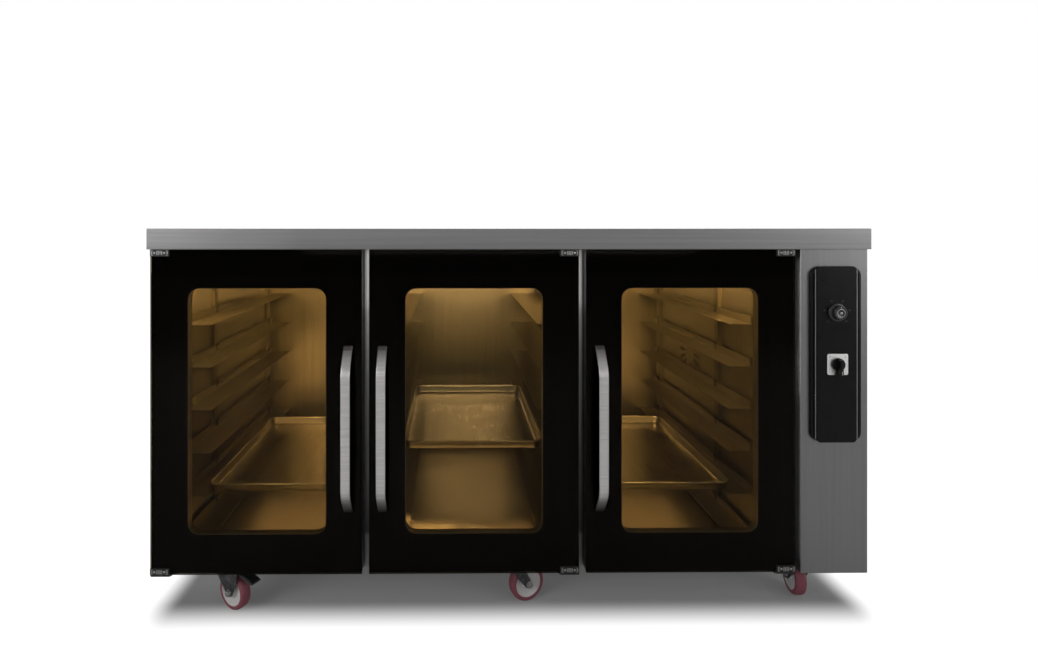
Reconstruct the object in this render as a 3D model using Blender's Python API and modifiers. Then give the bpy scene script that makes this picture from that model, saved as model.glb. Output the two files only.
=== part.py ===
# Proofing cabinet with three glazed doors, a control column and six swivel casters.
# Metres, +Z up, front towards -Y. The origin is on the floor under the middle of the cabinet.
import math

import bmesh
import bpy
from mathutils import Vector

# Cabinet
WORKTOP_WIDTH = 1.900
WORKTOP_DEPTH = 0.936
WORKTOP_THICKNESS = 0.050
WORKTOP_EDGE = 0.0015
SIDE_OVERHANG = 0.005        # worktop past the side panels
NOSE = 0.004                 # worktop ahead of the door glass
BODY_HEIGHT = 0.860
CASTER_HEIGHT = 0.130
WALL = 0.040                 # insulated panel
PANEL_EDGE = 0.001
SEAT_GAP = 0.0003            # left where one piece rests against another
OVERRUN = 0.002              # how far a cut runs past the face it starts from
WELD = 0.00001               # points closer than this are one point
MULLION_WIDTH = 0.100
INNER_WALL = 0.076           # wall between the right bay and the control column
COLUMN_WIDTH = 0.179

# Doors
DOOR_COUNT = 3
DOOR_DEPTH = 0.038
DOOR_GAP = 0.018
DOOR_SIDE_REVEAL = 0.003
DOOR_TOP_REVEAL = 0.005
DOOR_BOTTOM_REVEAL = 0.005
COLUMN_GAP = 0.016
DOOR_ROOM = WORKTOP_WIDTH - 2 * SIDE_OVERHANG - DOOR_SIDE_REVEAL - COLUMN_GAP - COLUMN_WIDTH
DOOR_WIDTH = (DOOR_ROOM + DOOR_GAP) / DOOR_COUNT - DOOR_GAP
DOOR_HEIGHT = BODY_HEIGHT - DOOR_TOP_REVEAL - DOOR_BOTTOM_REVEAL
GLASS = 0.006
GLASS_EDGE = 0.0008
FRAME_INSET = 0.001          # steel frame inside the edge of the glass
BORDER_SIDE = 0.095          # black border beside the window
BORDER_ENDS = 0.102          # above and below it
WINDOW_WIDTH = DOOR_WIDTH - 2 * BORDER_SIDE
WINDOW_HEIGHT = DOOR_HEIGHT - 2 * BORDER_ENDS
WINDOW_RADIUS = 0.030
OPENING_MARGIN = 0.002       # frame opening outside the clear window
INNER_GLASS = 0.004
INNER_GLASS_LAP = 0.013      # on each side of the frame opening
SEAL_INSET = 0.020
SEAL_WIDTH = 0.014
SEAL_SPACE = 0.006           # between the door and the body
SEAL_RADIUS = 0.016

# Door pivots
PIVOT_INSET = 0.012          # pin axis from the hinge edge of the door
PIVOT_WIDTH = 0.050
PIVOT_HEIGHT = 0.018
PIVOT_PROUD = 0.002          # fitting ahead of the glass
PIN_RADIUS = 0.004
PIN_CLEARANCE = 0.0001
PIN_LENGTH = 0.012           # inside the door
PIN_END_ROOM = 0.002
PLATE_THICKNESS = 0.0036
LOWER_PLATE_THICKNESS = 0.005
PLATE_SETBACK = 0.002        # plate edge behind the door glass
PLATE_CLEARANCE = 0.0008
LOWER_PLATE_WIDTH = 0.070
LOWER_PLATE_TAPER = 0.020

# Handles
HANDLE_LENGTH = 0.440
HANDLE_WIDTH = 0.024
HANDLE_THICKNESS = 0.006
HANDLE_PROJECTION = 0.048
HANDLE_INSET = 0.036         # bar centre from the free edge of the door
HANDLE_HEIGHT = 0.515        # bar centre above the floor
HANDLE_RISE = 0.042          # length of the sloping end
HANDLE_FOOT = 0.010
HANDLE_BEND = 0.030
HANDLE_EDGE = 0.0012

# Tray racks and trays
SLIDE_LEVELS = 6
SLIDE_SPACING = 0.118
FIRST_SLIDE = 0.012          # above the floor of the bays
SLIDE_START = 0.048          # behind the body front
SLIDE_BACK_ROOM = 0.010
SLIDE_SHEET = 0.002
SLIDE_FLANGE = 0.022
UPRIGHT_WIDTH = 0.025
UPRIGHT_DEPTH = 0.012
UPRIGHT_TOP_ROOM = 0.050
UPRIGHT_SHARES = (0.27, 0.95)    # places of the two uprights along a slide
TRAY_SIDE_ROOM = 0.152       # tray narrower than a door
TRAY_WIDTH = DOOR_WIDTH - TRAY_SIDE_ROOM
TRAY_BACK_ROOM = 0.180       # end of the slide behind the tray
TRAY_HEIGHT = 0.025
TRAY_RIM = 0.008
TRAY_SHEET = 0.0015
TRAY_CORNER = 0.020
TRAY_LAP = 0.012             # base of the tray on each slide
TRAY_START = 0.058           # behind the body front
TRAY_LEVELS = (1, 2, 1)      # slide that holds the tray of each bay, counted from 0

# Light bar
LIGHT_DEPTH = 0.036
LIGHT_HEIGHT = 0.020
LIGHT_START = 0.053
LIGHT_END_ROOM = 0.025
LIGHT_EDGE = 0.004

# Control column
COVER_SHEET = 0.002
COVER_SETBACK = 0.002        # column front behind the door glass
COVER_BEND = 0.003
PANEL_WIDTH = 0.134
PANEL_HEIGHT = 0.457
PANEL_TOP = 0.102            # below the top of the worktop
PANEL_BASE = 0.007
PANEL_STRIP = 0.004          # raised middle strip above the base
PANEL_STRIP_WIDTH = 0.105
PANEL_STRIP_OVER = 0.003     # strip past the base, top and bottom
PANEL_RADIUS = 0.022
STRIP_RADIUS = 0.010
PANEL_ROUND = 0.0015
KNOB_HEIGHT = 0.820
KNOB_RADIUS = 0.0235
KNOB_DEPTH = 0.018
KNOB_SKIRT = 0.004
KNOB_GRIP_RADIUS = 0.0185
SPINDLE_RADIUS = 0.003
SPINDLE_CLEARANCE = 0.0001
SPINDLE_DEPTH = 0.012        # inside the thermostat
SPINDLE_HOLE_RADIUS = 0.005
SWITCH_HEIGHT = 0.684
SWITCH_PLATE = 0.055
SWITCH_PLATE_THICKNESS = 0.003
SWITCH_PLATE_RADIUS = 0.003
CAM_RADIUS = 0.017
CAM_DEPTH = 0.012
CAM_POINTER_LENGTH = 0.029
CAM_POINTER_WIDTH = 0.009
CAM_GRIP_WIDTH = 0.009
CAM_GRIP_DEPTH = 0.011
THERMOSTAT_SIZE = (0.040, 0.030, 0.050)
SWITCH_SIZE = (0.048, 0.060, 0.048)
SWITCH_BODY_EDGE = 0.002

# Fan, heater and boiler
FAN_BACK = 0.340             # fan axis ahead of the back panel
FAN_HEIGHT = 0.600
FAN_POCKET_RADIUS = 0.094
FAN_POCKET_DEPTH = 0.050
IMPELLER_RADIUS = 0.069
IMPELLER_WIDTH = 0.030
IMPELLER_DISC = 0.002
IMPELLER_BACK_ROOM = 0.008
BLADE_COUNT = 10
BLADE_LENGTH = 0.022
BLADE_SHEET = 0.0015
BLADE_SWEEP = 35             # degrees
HUB_RADIUS = 0.012
FAN_SHAFT_RADIUS = 0.004
FAN_SHAFT_HOLE = 0.007
FAN_SHAFT_DEPTH = 0.020      # inside the motor
MOTOR_RADIUS = 0.042
MOTOR_LENGTH = 0.080
MOTOR_END_RADIUS = 0.030
MOTOR_FLANGE = 0.004
MOTOR_FLANGE_RADIUS = 0.052
GUARD_RADIUS = 0.102
GUARD_SHEET = 0.0015
GUARD_SLOTS = 16
GUARD_SLOT_WIDTH = 0.013
GUARD_SLOT_INNER = 0.034
GUARD_SLOT_OUTER = 0.086
ELEMENT_RADIUS = 0.082
ELEMENT_TUBE = 0.00325
ELEMENT_GAP = 24             # degrees left open between its two ends
ELEMENT_BEND = 0.012
ELEMENT_STUB = 0.018         # past the wall into the control column
ELEMENT_HOLE_CLEARANCE = 0.0005
BOILER_RADIUS = 0.060
BOILER_HEIGHT = 0.240
BOILER_DOME = 0.015
BOILER_BACK = 0.160          # tank axis ahead of the back panel
STEAM_PIPE_RADIUS = 0.009
STEAM_PIPE_DROP = 0.040      # below the top of the tank
PIPE_CLEARANCE = 0.0005
INLET_RADIUS = 0.010
INLET_RISE = 0.060
CONTACTOR_SIZE = (0.050, 0.120, 0.090)
CONTACTOR_SETBACK = 0.120    # behind the body front
CONTACTOR_HEIGHT = 0.700
CONTACTOR_STEP = 0.012

# Back panel
VENT_COUNT = 7
VENT_LENGTH = 0.090
VENT_WIDTH = 0.007
VENT_SPACING = 0.018
VENT_BOTTOM = 0.820
GLAND_HEIGHT = 0.230
GLAND_RADIUS = 0.011
GLAND_BORE = 0.005
GLAND_TAIL = 0.010

# Casters
CASTER_INSET = 0.150         # outer casters from the ends of the worktop, before the shift
CASTER_SPACING = WORKTOP_WIDTH / 2 - CASTER_INSET
CASTER_ROW_SHIFT = 0.020
CASTER_FRONT = 0.053         # swivel axis behind the body front
CASTER_BACK = 0.105          # swivel axis ahead of the back
CASTER_PLATE_LENGTH = 0.100
CASTER_PLATE_WIDTH = 0.085
CASTER_PLATE = 0.005
CASTER_PLATE_RADIUS = 0.010
RACE_RADIUS = 0.026
RACE_HEIGHT = 0.004
WHEEL_RADIUS = 0.050
WHEEL_WIDTH = 0.030
TREAD = 0.009
TREAD_ROUND = 0.007
HUB_WIDTH = 0.034
WHEEL_HUB_RADIUS = 0.014
WEB_WIDTH = 0.016
WEB_ROUND = 0.002
TRAIL = 0.036
FORK_GAP = 0.0185            # inner face of each leg from the middle
FORK_SHEET = 0.003
CROWN_RADIUS = 0.030
CROWN_HEIGHT = 0.010
LEG_WIDTH = 0.024
LEG_TOP_LENGTH = 0.050
AXLE_RADIUS = 0.005
AXLE_CLEARANCE = 0.0001
BOLT_HEAD_RADIUS = 0.009
BOLT_HEAD = 0.006
BRAKE_PIVOT = (0.026, 0.053)     # behind and above the axle
BRAKE_PIN_RADIUS = 0.003
BRAKE_EAR_RADIUS = 0.007
BRAKE_LENGTH = 0.052
BRAKE_FALL = 0.014
BRAKE_WIDTH = 0.030
BRAKE_SHEET = 0.004
BRAKE_LIP = 0.008
# Name, side of the row, front or back, angle of the trail at rest in degrees, brake
CASTERS = (
    ("caster_front_left", -1, -1, -32, True),
    ("caster_front_middle", 0, -1, 22, False),
    ("caster_front_right", 1, -1, 84, True),
    ("caster_back_left", -1, 1, 65, False),
    ("caster_back_middle", 0, 1, 100, False),
    ("caster_back_right", 1, 1, 120, False),
)

# Places worked out from the sizes
TOTAL_DEPTH = WORKTOP_DEPTH - NOSE + HANDLE_PROJECTION
BACK_Y = TOTAL_DEPTH / 2
DOOR_FRONT = BACK_Y - WORKTOP_DEPTH + NOSE
DOOR_BACK = DOOR_FRONT + DOOR_DEPTH
BODY_FRONT = DOOR_BACK + SEAL_SPACE
BODY_BACK = BACK_Y - WALL
SLIDE_LENGTH = BODY_BACK - BODY_FRONT - SLIDE_START - SLIDE_BACK_ROOM
TRAY_DEPTH = SLIDE_LENGTH + SLIDE_START - TRAY_START - TRAY_BACK_ROOM
BODY_BOTTOM = CASTER_HEIGHT
BODY_TOP = BODY_BOTTOM + BODY_HEIGHT
BODY_LEFT = SIDE_OVERHANG - WORKTOP_WIDTH / 2
BODY_RIGHT = -BODY_LEFT
FLOOR = BODY_BOTTOM + WALL
CEILING = BODY_TOP - WALL
DOOR_TOP = BODY_TOP - DOOR_TOP_REVEAL
DOOR_BOTTOM = DOOR_TOP - DOOR_HEIGHT
DOOR_STEP = DOOR_WIDTH + DOOR_GAP
DOOR_LEFTS = tuple(BODY_LEFT + DOOR_SIDE_REVEAL + i * DOOR_STEP for i in range(DOOR_COUNT))
MULLION_CENTRES = tuple(left - DOOR_GAP / 2 for left in DOOR_LEFTS[1:])
COLUMN_LEFT = BODY_RIGHT - COLUMN_WIDTH
COLUMN_MIDDLE = (COLUMN_LEFT + BODY_RIGHT) / 2
COLUMN_FRONT = DOOR_FRONT + COVER_SETBACK
BAY_LEFT = BODY_LEFT + WALL
BAY_RIGHT = COLUMN_LEFT - INNER_WALL
PIVOT_Y = DOOR_FRONT + DOOR_DEPTH / 2
FAN_Y = BODY_BACK - FAN_BACK
BOILER_Y = BODY_BACK - BOILER_BACK
PANEL_FRONT = COLUMN_FRONT - SEAT_GAP - PANEL_BASE - PANEL_STRIP

FRONT_FACING = (math.pi / 2, 0, 0)      # turns local +Z to -Y and local +Y to +Z
ROUND = 16
FINE = 24
CIRCULAR = 0.5           # bevel profile of a round corner
SMOOTH_ANGLE = 35        # degrees


def clear_scene():
    for obj in list(bpy.data.objects):
        bpy.data.objects.remove(obj, do_unlink=True)


def new_collection(name):
    group = bpy.data.collections.new(name)
    bpy.context.scene.collection.children.link(group)
    return group


clear_scene()
PARTS = new_collection("proofing_cabinet")
CUTTERS = new_collection("cutters")


def finish(name, colour, roughness, metallic):
    made = bpy.data.materials.new(name)
    made.use_nodes = True
    shader = made.node_tree.nodes["Principled BSDF"]
    shader.inputs["Base Color"].default_value = (*colour, 1)
    shader.inputs["Roughness"].default_value = roughness
    shader.inputs["Metallic"].default_value = metallic
    made.diffuse_color = (*colour, 1)
    return made


STAINLESS = finish("brushed_stainless", (0.32, 0.32, 0.33), 0.35, 1)
INNER_STEEL = finish("bay_stainless", (0.50, 0.47, 0.40), 0.30, 1)
BAR_STEEL = finish("handle_steel", (0.45, 0.44, 0.43), 0.30, 1)
BLACK_GLASS = finish("black_glass", (0.004, 0.003, 0.003), 0.05, 0)
TINTED_GLASS = finish("tinted_glass", (0.20, 0.12, 0.03), 0.05, 0)
FRAME_STEEL = finish("frame_steel", (0.03, 0.03, 0.03), 0.45, 1)
SEAL_RUBBER = finish("seal_rubber", (0.02, 0.02, 0.02), 0.80, 0)
BLACK_PLASTIC = finish("black_plastic", (0.015, 0.015, 0.017), 0.35, 0)
GREY_PLASTIC = finish("grey_plastic", (0.30, 0.30, 0.30), 0.50, 0)
PLATE_SILVER = finish("switch_silver", (0.60, 0.60, 0.60), 0.30, 1)
ZINC = finish("zinc_plated_steel", (0.40, 0.40, 0.42), 0.35, 1)
RED_TREAD = finish("red_polyurethane", (0.35, 0.03, 0.04), 0.45, 0)
LIGHT_LENS = finish("light_lens", (0.90, 0.80, 0.60), 0.40, 0)


# Shape helpers


def add_mesh(name, mesh, look, parent):
    obj = bpy.data.objects.new(name, mesh)
    if look is None:
        CUTTERS.objects.link(obj)
        obj.hide_render = True
        obj.display_type = "WIRE"
    else:
        PARTS.objects.link(obj)
        mesh.materials.append(look)
    obj.parent = parent
    return obj


def from_shape(name, shape, look, parent):
    mesh = bpy.data.meshes.new(name)
    shape.to_mesh(mesh)
    shape.free()
    return add_mesh(name, mesh, look, parent)


def block(name, low, high, look=None, parent=None):
    low = Vector(low)
    high = Vector(high)
    shape = bmesh.new()
    bmesh.ops.create_cube(shape, size=1)
    bmesh.ops.scale(shape, vec=high - low, verts=shape.verts)
    obj = from_shape(name, shape, look, parent)
    obj.location = (low + high) / 2
    return obj


def rod(name, start, end, radius, look=None, parent=None, sides=ROUND):
    start = Vector(start)
    end = Vector(end)
    shape = bmesh.new()
    bmesh.ops.create_cone(
        shape, cap_ends=True, segments=sides, radius1=radius, radius2=radius, depth=(end - start).length
    )
    obj = from_shape(name, shape, look, parent)
    obj.location = (start + end) / 2
    obj.rotation_euler = (end - start).to_track_quat("Z", "Y").to_euler()
    return obj


# The profile is (radius, height) from the top down the outer side. A closed one makes a ring.
def turned(name, profile, look=None, parent=None, closed=False, steps=FINE):
    shape = bmesh.new()
    points = [shape.verts.new((radius, 0, height)) for radius, height in profile]
    for first, second in zip(points, points[1:]):
        shape.edges.new((first, second))
    if closed:
        shape.edges.new((points[-1], points[0]))
    obj = from_shape(name, shape, look, parent)
    screw = obj.modifiers.new("turn", "SCREW")
    screw.steps = steps
    screw.render_steps = steps
    screw.use_merge_vertices = True
    screw.merge_threshold = WELD
    return obj


def as_mesh(guide, look, parent):
    bpy.context.view_layer.update()
    graph = bpy.context.evaluated_depsgraph_get()
    mesh = bpy.data.meshes.new_from_object(guide.evaluated_get(graph))
    shape = bmesh.new()
    shape.from_mesh(mesh)
    bmesh.ops.remove_doubles(shape, verts=shape.verts, dist=WELD)
    shape.to_mesh(mesh)
    shape.free()
    mesh.materials.clear()
    name = guide.name
    place = guide.matrix_world.copy()
    bpy.data.objects.remove(guide, do_unlink=True)
    obj = add_mesh(name, mesh, look, parent)
    obj.matrix_local = place
    return obj


# A flat sheet with the given outlines; the inner ones are holes. It lies in local XY.
def plate(name, outlines, thickness, look=None, parent=None):
    curve = bpy.data.curves.new(name, "CURVE")
    curve.dimensions = "2D"
    curve.fill_mode = "BOTH"
    curve.extrude = thickness / 2
    for outline in outlines:
        spline = curve.splines.new("POLY")
        spline.points.add(len(outline) - 1)
        for point, (across, along) in zip(spline.points, outline):
            point.co = (across, along, 0, 1)
        spline.use_cyclic_u = True
    guide = bpy.data.objects.new(name, curve)
    CUTTERS.objects.link(guide)
    return as_mesh(guide, look, parent)


# The same outline drawn out of one whole face, so that its long edges can be rounded.
def drawn_bar(name, outline, width, look, parent=None):
    shape = bmesh.new()
    face = shape.faces.new([shape.verts.new((x, y, -width / 2)) for x, y in outline])
    grown = bmesh.ops.extrude_face_region(shape, geom=[face])["geom"]
    lifted = [item for item in grown if isinstance(item, bmesh.types.BMVert)]
    bmesh.ops.translate(shape, vec=(0, 0, width), verts=lifted)
    bmesh.ops.recalc_face_normals(shape, faces=shape.faces)
    return from_shape(name, shape, look, parent)


def tube(name, route, radius, look=None, parent=None, resolution=1):
    curve = bpy.data.curves.new(name, "CURVE")
    curve.dimensions = "3D"
    curve.bevel_depth = radius
    curve.bevel_resolution = resolution
    curve.use_fill_caps = True
    spline = curve.splines.new("POLY")
    spline.points.add(len(route) - 1)
    for point, place in zip(spline.points, route):
        point.co = (*place, 1)
    guide = bpy.data.objects.new(name, curve)
    CUTTERS.objects.link(guide)
    return as_mesh(guide, look, parent)


def soften(obj, width, segments=2):
    bevel = obj.modifiers.new("soft edges", "BEVEL")
    bevel.width = width
    bevel.segments = segments
    bevel.limit_method = "ANGLE"
    return obj


def combine(obj, other, operation):
    change = obj.modifiers.new(operation.lower(), "BOOLEAN")
    change.operation = operation
    change.solver = "EXACT"
    change.object = other
    return obj


def cut(obj, *others):
    for other in others:
        combine(obj, other, "DIFFERENCE")
    return obj


def join(obj, *others):
    for other in others:
        combine(obj, other, "UNION")
    return obj


def hang_on(obj, axis):
    obj.parent = axis
    obj.location -= axis.location
    return obj


def joint_axis(name, place, turn=0):
    axis = bpy.data.objects.new(name, None)
    axis.location = place
    axis.rotation_euler = (0, 0, turn)
    PARTS.objects.link(axis)
    return axis


def shade_round(obj):
    obj.data.shade_smooth()
    if not obj.modifiers:
        obj.data.set_sharp_from_angle(angle=math.radians(SMOOTH_ANGLE))
    return obj


# Outline helpers


def arc(centre, radius, start, end, steps):
    turns = [start + (end - start) * i / steps for i in range(steps + 1)]
    return [(centre[0] + radius * math.cos(a), centre[1] + radius * math.sin(a)) for a in turns]


# Corners are (x, y, radius); a radius of 0 keeps the corner sharp.
def filleted(corners, steps=4):
    outline = []
    count = len(corners)
    for i, (x, y, radius) in enumerate(corners):
        here = Vector((x, y))
        if radius == 0:
            outline.append((x, y))
            continue
        before = (Vector(corners[i - 1][:2]) - here).normalized()
        after = (Vector(corners[(i + 1) % count][:2]) - here).normalized()
        half = before.angle(after) / 2
        centre = here + (before + after).normalized() * (radius / math.sin(half))
        first = here + before * (radius / math.tan(half)) - centre
        last = here + after * (radius / math.tan(half)) - centre
        start = math.atan2(first.y, first.x)
        sweep = math.remainder(math.atan2(last.y, last.x) - start, math.tau)
        outline += arc(centre, radius, start, start + sweep, steps)
    return outline


def rectangle(width, height, radius=0.0, centre=(0, 0), steps=4):
    x = width / 2
    y = height / 2
    corners = [(-x, -y), (x, -y), (x, y), (-x, y)]
    return filleted([(cx + centre[0], cy + centre[1], radius) for cx, cy in corners], steps)


def circle(radius, centre=(0, 0), steps=ROUND):
    return arc(centre, radius, 0, math.tau, steps)[:-1]


# Cabinet body


def make_worktop():
    half = WORKTOP_WIDTH / 2
    front = BACK_Y - WORKTOP_DEPTH
    slab = block(
        "worktop", (-half, front, BODY_TOP), (half, BACK_Y, BODY_TOP + WORKTOP_THICKNESS), STAINLESS
    )
    return soften(slab, WORKTOP_EDGE)


def make_side_panel():
    panel = block(
        "side_panel_left",
        (BODY_LEFT, BODY_FRONT, BODY_BOTTOM),
        (BAY_LEFT, BODY_BACK - SEAT_GAP, BODY_TOP - SEAT_GAP),
        STAINLESS,
    )
    return soften(panel, PANEL_EDGE, 1)


def make_back_panel():
    panel = block(
        "back_panel",
        (BODY_LEFT, BODY_BACK, BODY_BOTTOM),
        (BODY_RIGHT, BACK_Y, BODY_TOP - SEAT_GAP),
        STAINLESS,
    )
    soften(panel, PANEL_EDGE, 1)
    front = BODY_BACK - OVERRUN
    back = BACK_Y + OVERRUN
    for i in range(VENT_COUNT):
        low = VENT_BOTTOM + i * VENT_SPACING
        slot = block(
            f"vent_cutter_{i}",
            (COLUMN_MIDDLE - VENT_LENGTH / 2, front, low),
            (COLUMN_MIDDLE + VENT_LENGTH / 2, back, low + VENT_WIDTH),
        )
        cut(panel, slot)
    inlet_z = FLOOR + INLET_RISE
    cut(panel, rod(
        "inlet_hole",
        (COLUMN_MIDDLE, front, inlet_z),
        (COLUMN_MIDDLE, back, inlet_z),
        INLET_RADIUS + PIPE_CLEARANCE,
    ))
    gland_x = COLUMN_MIDDLE - BOILER_RADIUS
    cut(panel, rod(
        "gland_hole",
        (gland_x, front, GLAND_HEIGHT),
        (gland_x, back, GLAND_HEIGHT),
        GLAND_RADIUS + PIPE_CLEARANCE,
    ))
    return panel


# Hinge side of each door: +1 at its left edge, -1 at its right edge.
HINGE_SIDES = (1, -1, -1)


def hinge_edge(i):
    return DOOR_LEFTS[i] if HINGE_SIDES[i] > 0 else DOOR_LEFTS[i] + DOOR_WIDTH


def pivot_x(i):
    return hinge_edge(i) + HINGE_SIDES[i] * PIVOT_INSET


# Flat hinge plate that reaches forward from the body, with its pin. It lies level.
def add_hinge_plate(carrier, i, height, thickness, width, taper, pin_low, pin_high):
    side = HINGE_SIDES[i]
    edge = hinge_edge(i)
    front = DOOR_FRONT + PLATE_SETBACK
    back = BODY_FRONT + OVERRUN
    corners = [
        (edge, front, 0),
        (edge + side * (width - taper), front, 0),
        (edge + side * width, BODY_FRONT - SEAT_GAP, 0),
        (edge + side * width, back, 0),
        (max(edge, BAY_LEFT + OVERRUN), back, 0),
        (max(edge, BAY_LEFT + OVERRUN), BODY_FRONT - SEAT_GAP, 0),
        (edge, BODY_FRONT - SEAT_GAP, 0),
    ]
    if side < 0:
        corners = corners[:4] + [(edge, back, 0)]
    outline = filleted(corners)
    name = f"{carrier.name}_hinge_{i}"
    leaf = plate(name, [outline], thickness)
    leaf.location.z = height
    x = pivot_x(i)
    pin = rod(f"{name}_pin", (x, PIVOT_Y, pin_low), (x, PIVOT_Y, pin_high), PIN_RADIUS)
    join(carrier, leaf, pin)


def make_header():
    header = block(
        "front_header",
        (BAY_LEFT + SEAT_GAP, BODY_FRONT, CEILING),
        (COLUMN_LEFT, BODY_FRONT + WALL, BODY_TOP - SEAT_GAP),
        STAINLESS,
    )
    middle = DOOR_TOP + PLATE_CLEARANCE + PLATE_THICKNESS / 2
    pin_low = DOOR_TOP - PIN_LENGTH
    for i in range(DOOR_COUNT):
        add_hinge_plate(header, i, middle, PLATE_THICKNESS, PIVOT_WIDTH, 0, pin_low, middle)
    return header


def make_ceiling():
    panel = block(
        "ceiling_panel",
        (BAY_LEFT + SEAT_GAP, BODY_FRONT + WALL + SEAT_GAP, CEILING),
        (COLUMN_LEFT, BODY_BACK - SEAT_GAP, BODY_TOP - SEAT_GAP),
        INNER_STEEL,
    )
    return soften(panel, PANEL_EDGE, 1)


def caster_place(side, end):
    x = CASTER_ROW_SHIFT + side * CASTER_SPACING
    y = BODY_FRONT + CASTER_FRONT if end < 0 else BACK_Y - CASTER_BACK
    return x, y


def make_floor_pan():
    pan = block(
        "floor_pan",
        (BAY_LEFT + SEAT_GAP, BODY_FRONT, BODY_BOTTOM),
        (BODY_RIGHT - COVER_SHEET - SEAT_GAP, BODY_BACK - SEAT_GAP, FLOOR),
        STAINLESS,
    )
    for name, side, end, _, _ in CASTERS:
        x, y = caster_place(side, end)
        outline = rectangle(CASTER_PLATE_LENGTH, CASTER_PLATE_WIDTH, CASTER_PLATE_RADIUS, (x, y), 2)
        base = plate(f"{name}_plate", [outline], CASTER_PLATE + OVERRUN)
        base.location.z = BODY_BOTTOM - CASTER_PLATE + (CASTER_PLATE + OVERRUN) / 2
        race_top = BODY_BOTTOM - CASTER_PLATE + OVERRUN
        race_low = race_top - OVERRUN - RACE_HEIGHT
        race = rod(f"{name}_race", (x, y, race_low), (x, y, race_top), RACE_RADIUS, sides=12)
        join(pan, base, race)
    middle = DOOR_BOTTOM - PLATE_CLEARANCE - LOWER_PLATE_THICKNESS / 2
    pin_high = DOOR_BOTTOM + PIN_LENGTH
    for i in range(DOOR_COUNT):
        add_hinge_plate(
            pan, i, middle, LOWER_PLATE_THICKNESS, LOWER_PLATE_WIDTH, LOWER_PLATE_TAPER, middle, pin_high
        )
    return pan


def make_mullions():
    for side, centre in zip(("left", "right"), MULLION_CENTRES):
        post = block(
            f"mullion_{side}",
            (centre - MULLION_WIDTH / 2, BODY_FRONT, FLOOR + SEAT_GAP),
            (centre + MULLION_WIDTH / 2, BODY_FRONT + WALL, CEILING - SEAT_GAP),
            STAINLESS,
        )
        soften(post, PANEL_EDGE, 1)


def make_inner_wall():
    wall = block(
        "inner_wall_right",
        (BAY_RIGHT, BODY_FRONT, FLOOR + SEAT_GAP),
        (COLUMN_LEFT, BODY_BACK - SEAT_GAP, CEILING - SEAT_GAP),
        INNER_STEEL,
    )
    left = BAY_RIGHT - OVERRUN
    right = COLUMN_LEFT + OVERRUN
    rebate = BAY_RIGHT + GUARD_SHEET + SEAT_GAP
    cut(
        wall,
        rod(
            "fan_pocket",
            (left, FAN_Y, FAN_HEIGHT),
            (BAY_RIGHT + FAN_POCKET_DEPTH, FAN_Y, FAN_HEIGHT),
            FAN_POCKET_RADIUS,
            sides=FINE,
        ),
        rod(
            "guard_rebate",
            (left, FAN_Y, FAN_HEIGHT),
            (rebate, FAN_Y, FAN_HEIGHT),
            GUARD_RADIUS + SEAT_GAP,
            sides=FINE,
        ),
        rod("shaft_hole", (left, FAN_Y, FAN_HEIGHT), (right, FAN_Y, FAN_HEIGHT), FAN_SHAFT_HOLE),
    )
    element_hole = ELEMENT_TUBE + ELEMENT_HOLE_CLEARANCE
    for i, (y, z) in enumerate(element_ends()):
        cut(wall, rod(f"element_hole_{i}", (left, y, z), (right, y, z), element_hole))
    z = steam_height()
    steam_hole = STEAM_PIPE_RADIUS + PIPE_CLEARANCE
    return cut(wall, rod("steam_hole", (left, BOILER_Y, z), (right, BOILER_Y, z), steam_hole))


# Doors


def make_door_axis(i, name):
    return joint_axis(f"{name}_axis", (pivot_x(i), PIVOT_Y, DOOR_BOTTOM))


def upright_plate(name, outlines, thickness, front, look, axis):
    sheet = plate(name, outlines, thickness, look)
    sheet.rotation_euler = FRONT_FACING
    sheet.location = (0, front + thickness / 2, 0)
    return hang_on(sheet, axis)


def pivot_block(name, i, axis, low, high, margin, back):
    edge = hinge_edge(i)
    far = edge + HINGE_SIDES[i] * (PIVOT_WIDTH + margin)
    near = edge - HINGE_SIDES[i] * margin
    obj = block(
        name,
        (min(near, far), DOOR_FRONT - PIVOT_PROUD - margin, low),
        (max(near, far), back, high),
    )
    return hang_on(obj, axis)


def make_door_glass(i, name, axis, centre):
    outline = rectangle(DOOR_WIDTH, DOOR_HEIGHT, GLASS_EDGE, centre, 1)
    pane = upright_plate(f"{name}_glass", [outline], GLASS, DOOR_FRONT, BLACK_GLASS, axis)
    back = DOOR_FRONT + GLASS + OVERRUN
    for end, low, high in (
        ("top", DOOR_TOP - PIVOT_HEIGHT - SEAT_GAP, DOOR_TOP + OVERRUN),
        ("bottom", DOOR_BOTTOM - OVERRUN, DOOR_BOTTOM + PIVOT_HEIGHT + SEAT_GAP),
    ):
        notch = pivot_block(f"{name}_notch_{end}", i, axis, low, high, SEAT_GAP, back)
        cut(pane, notch)
    return pane


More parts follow.
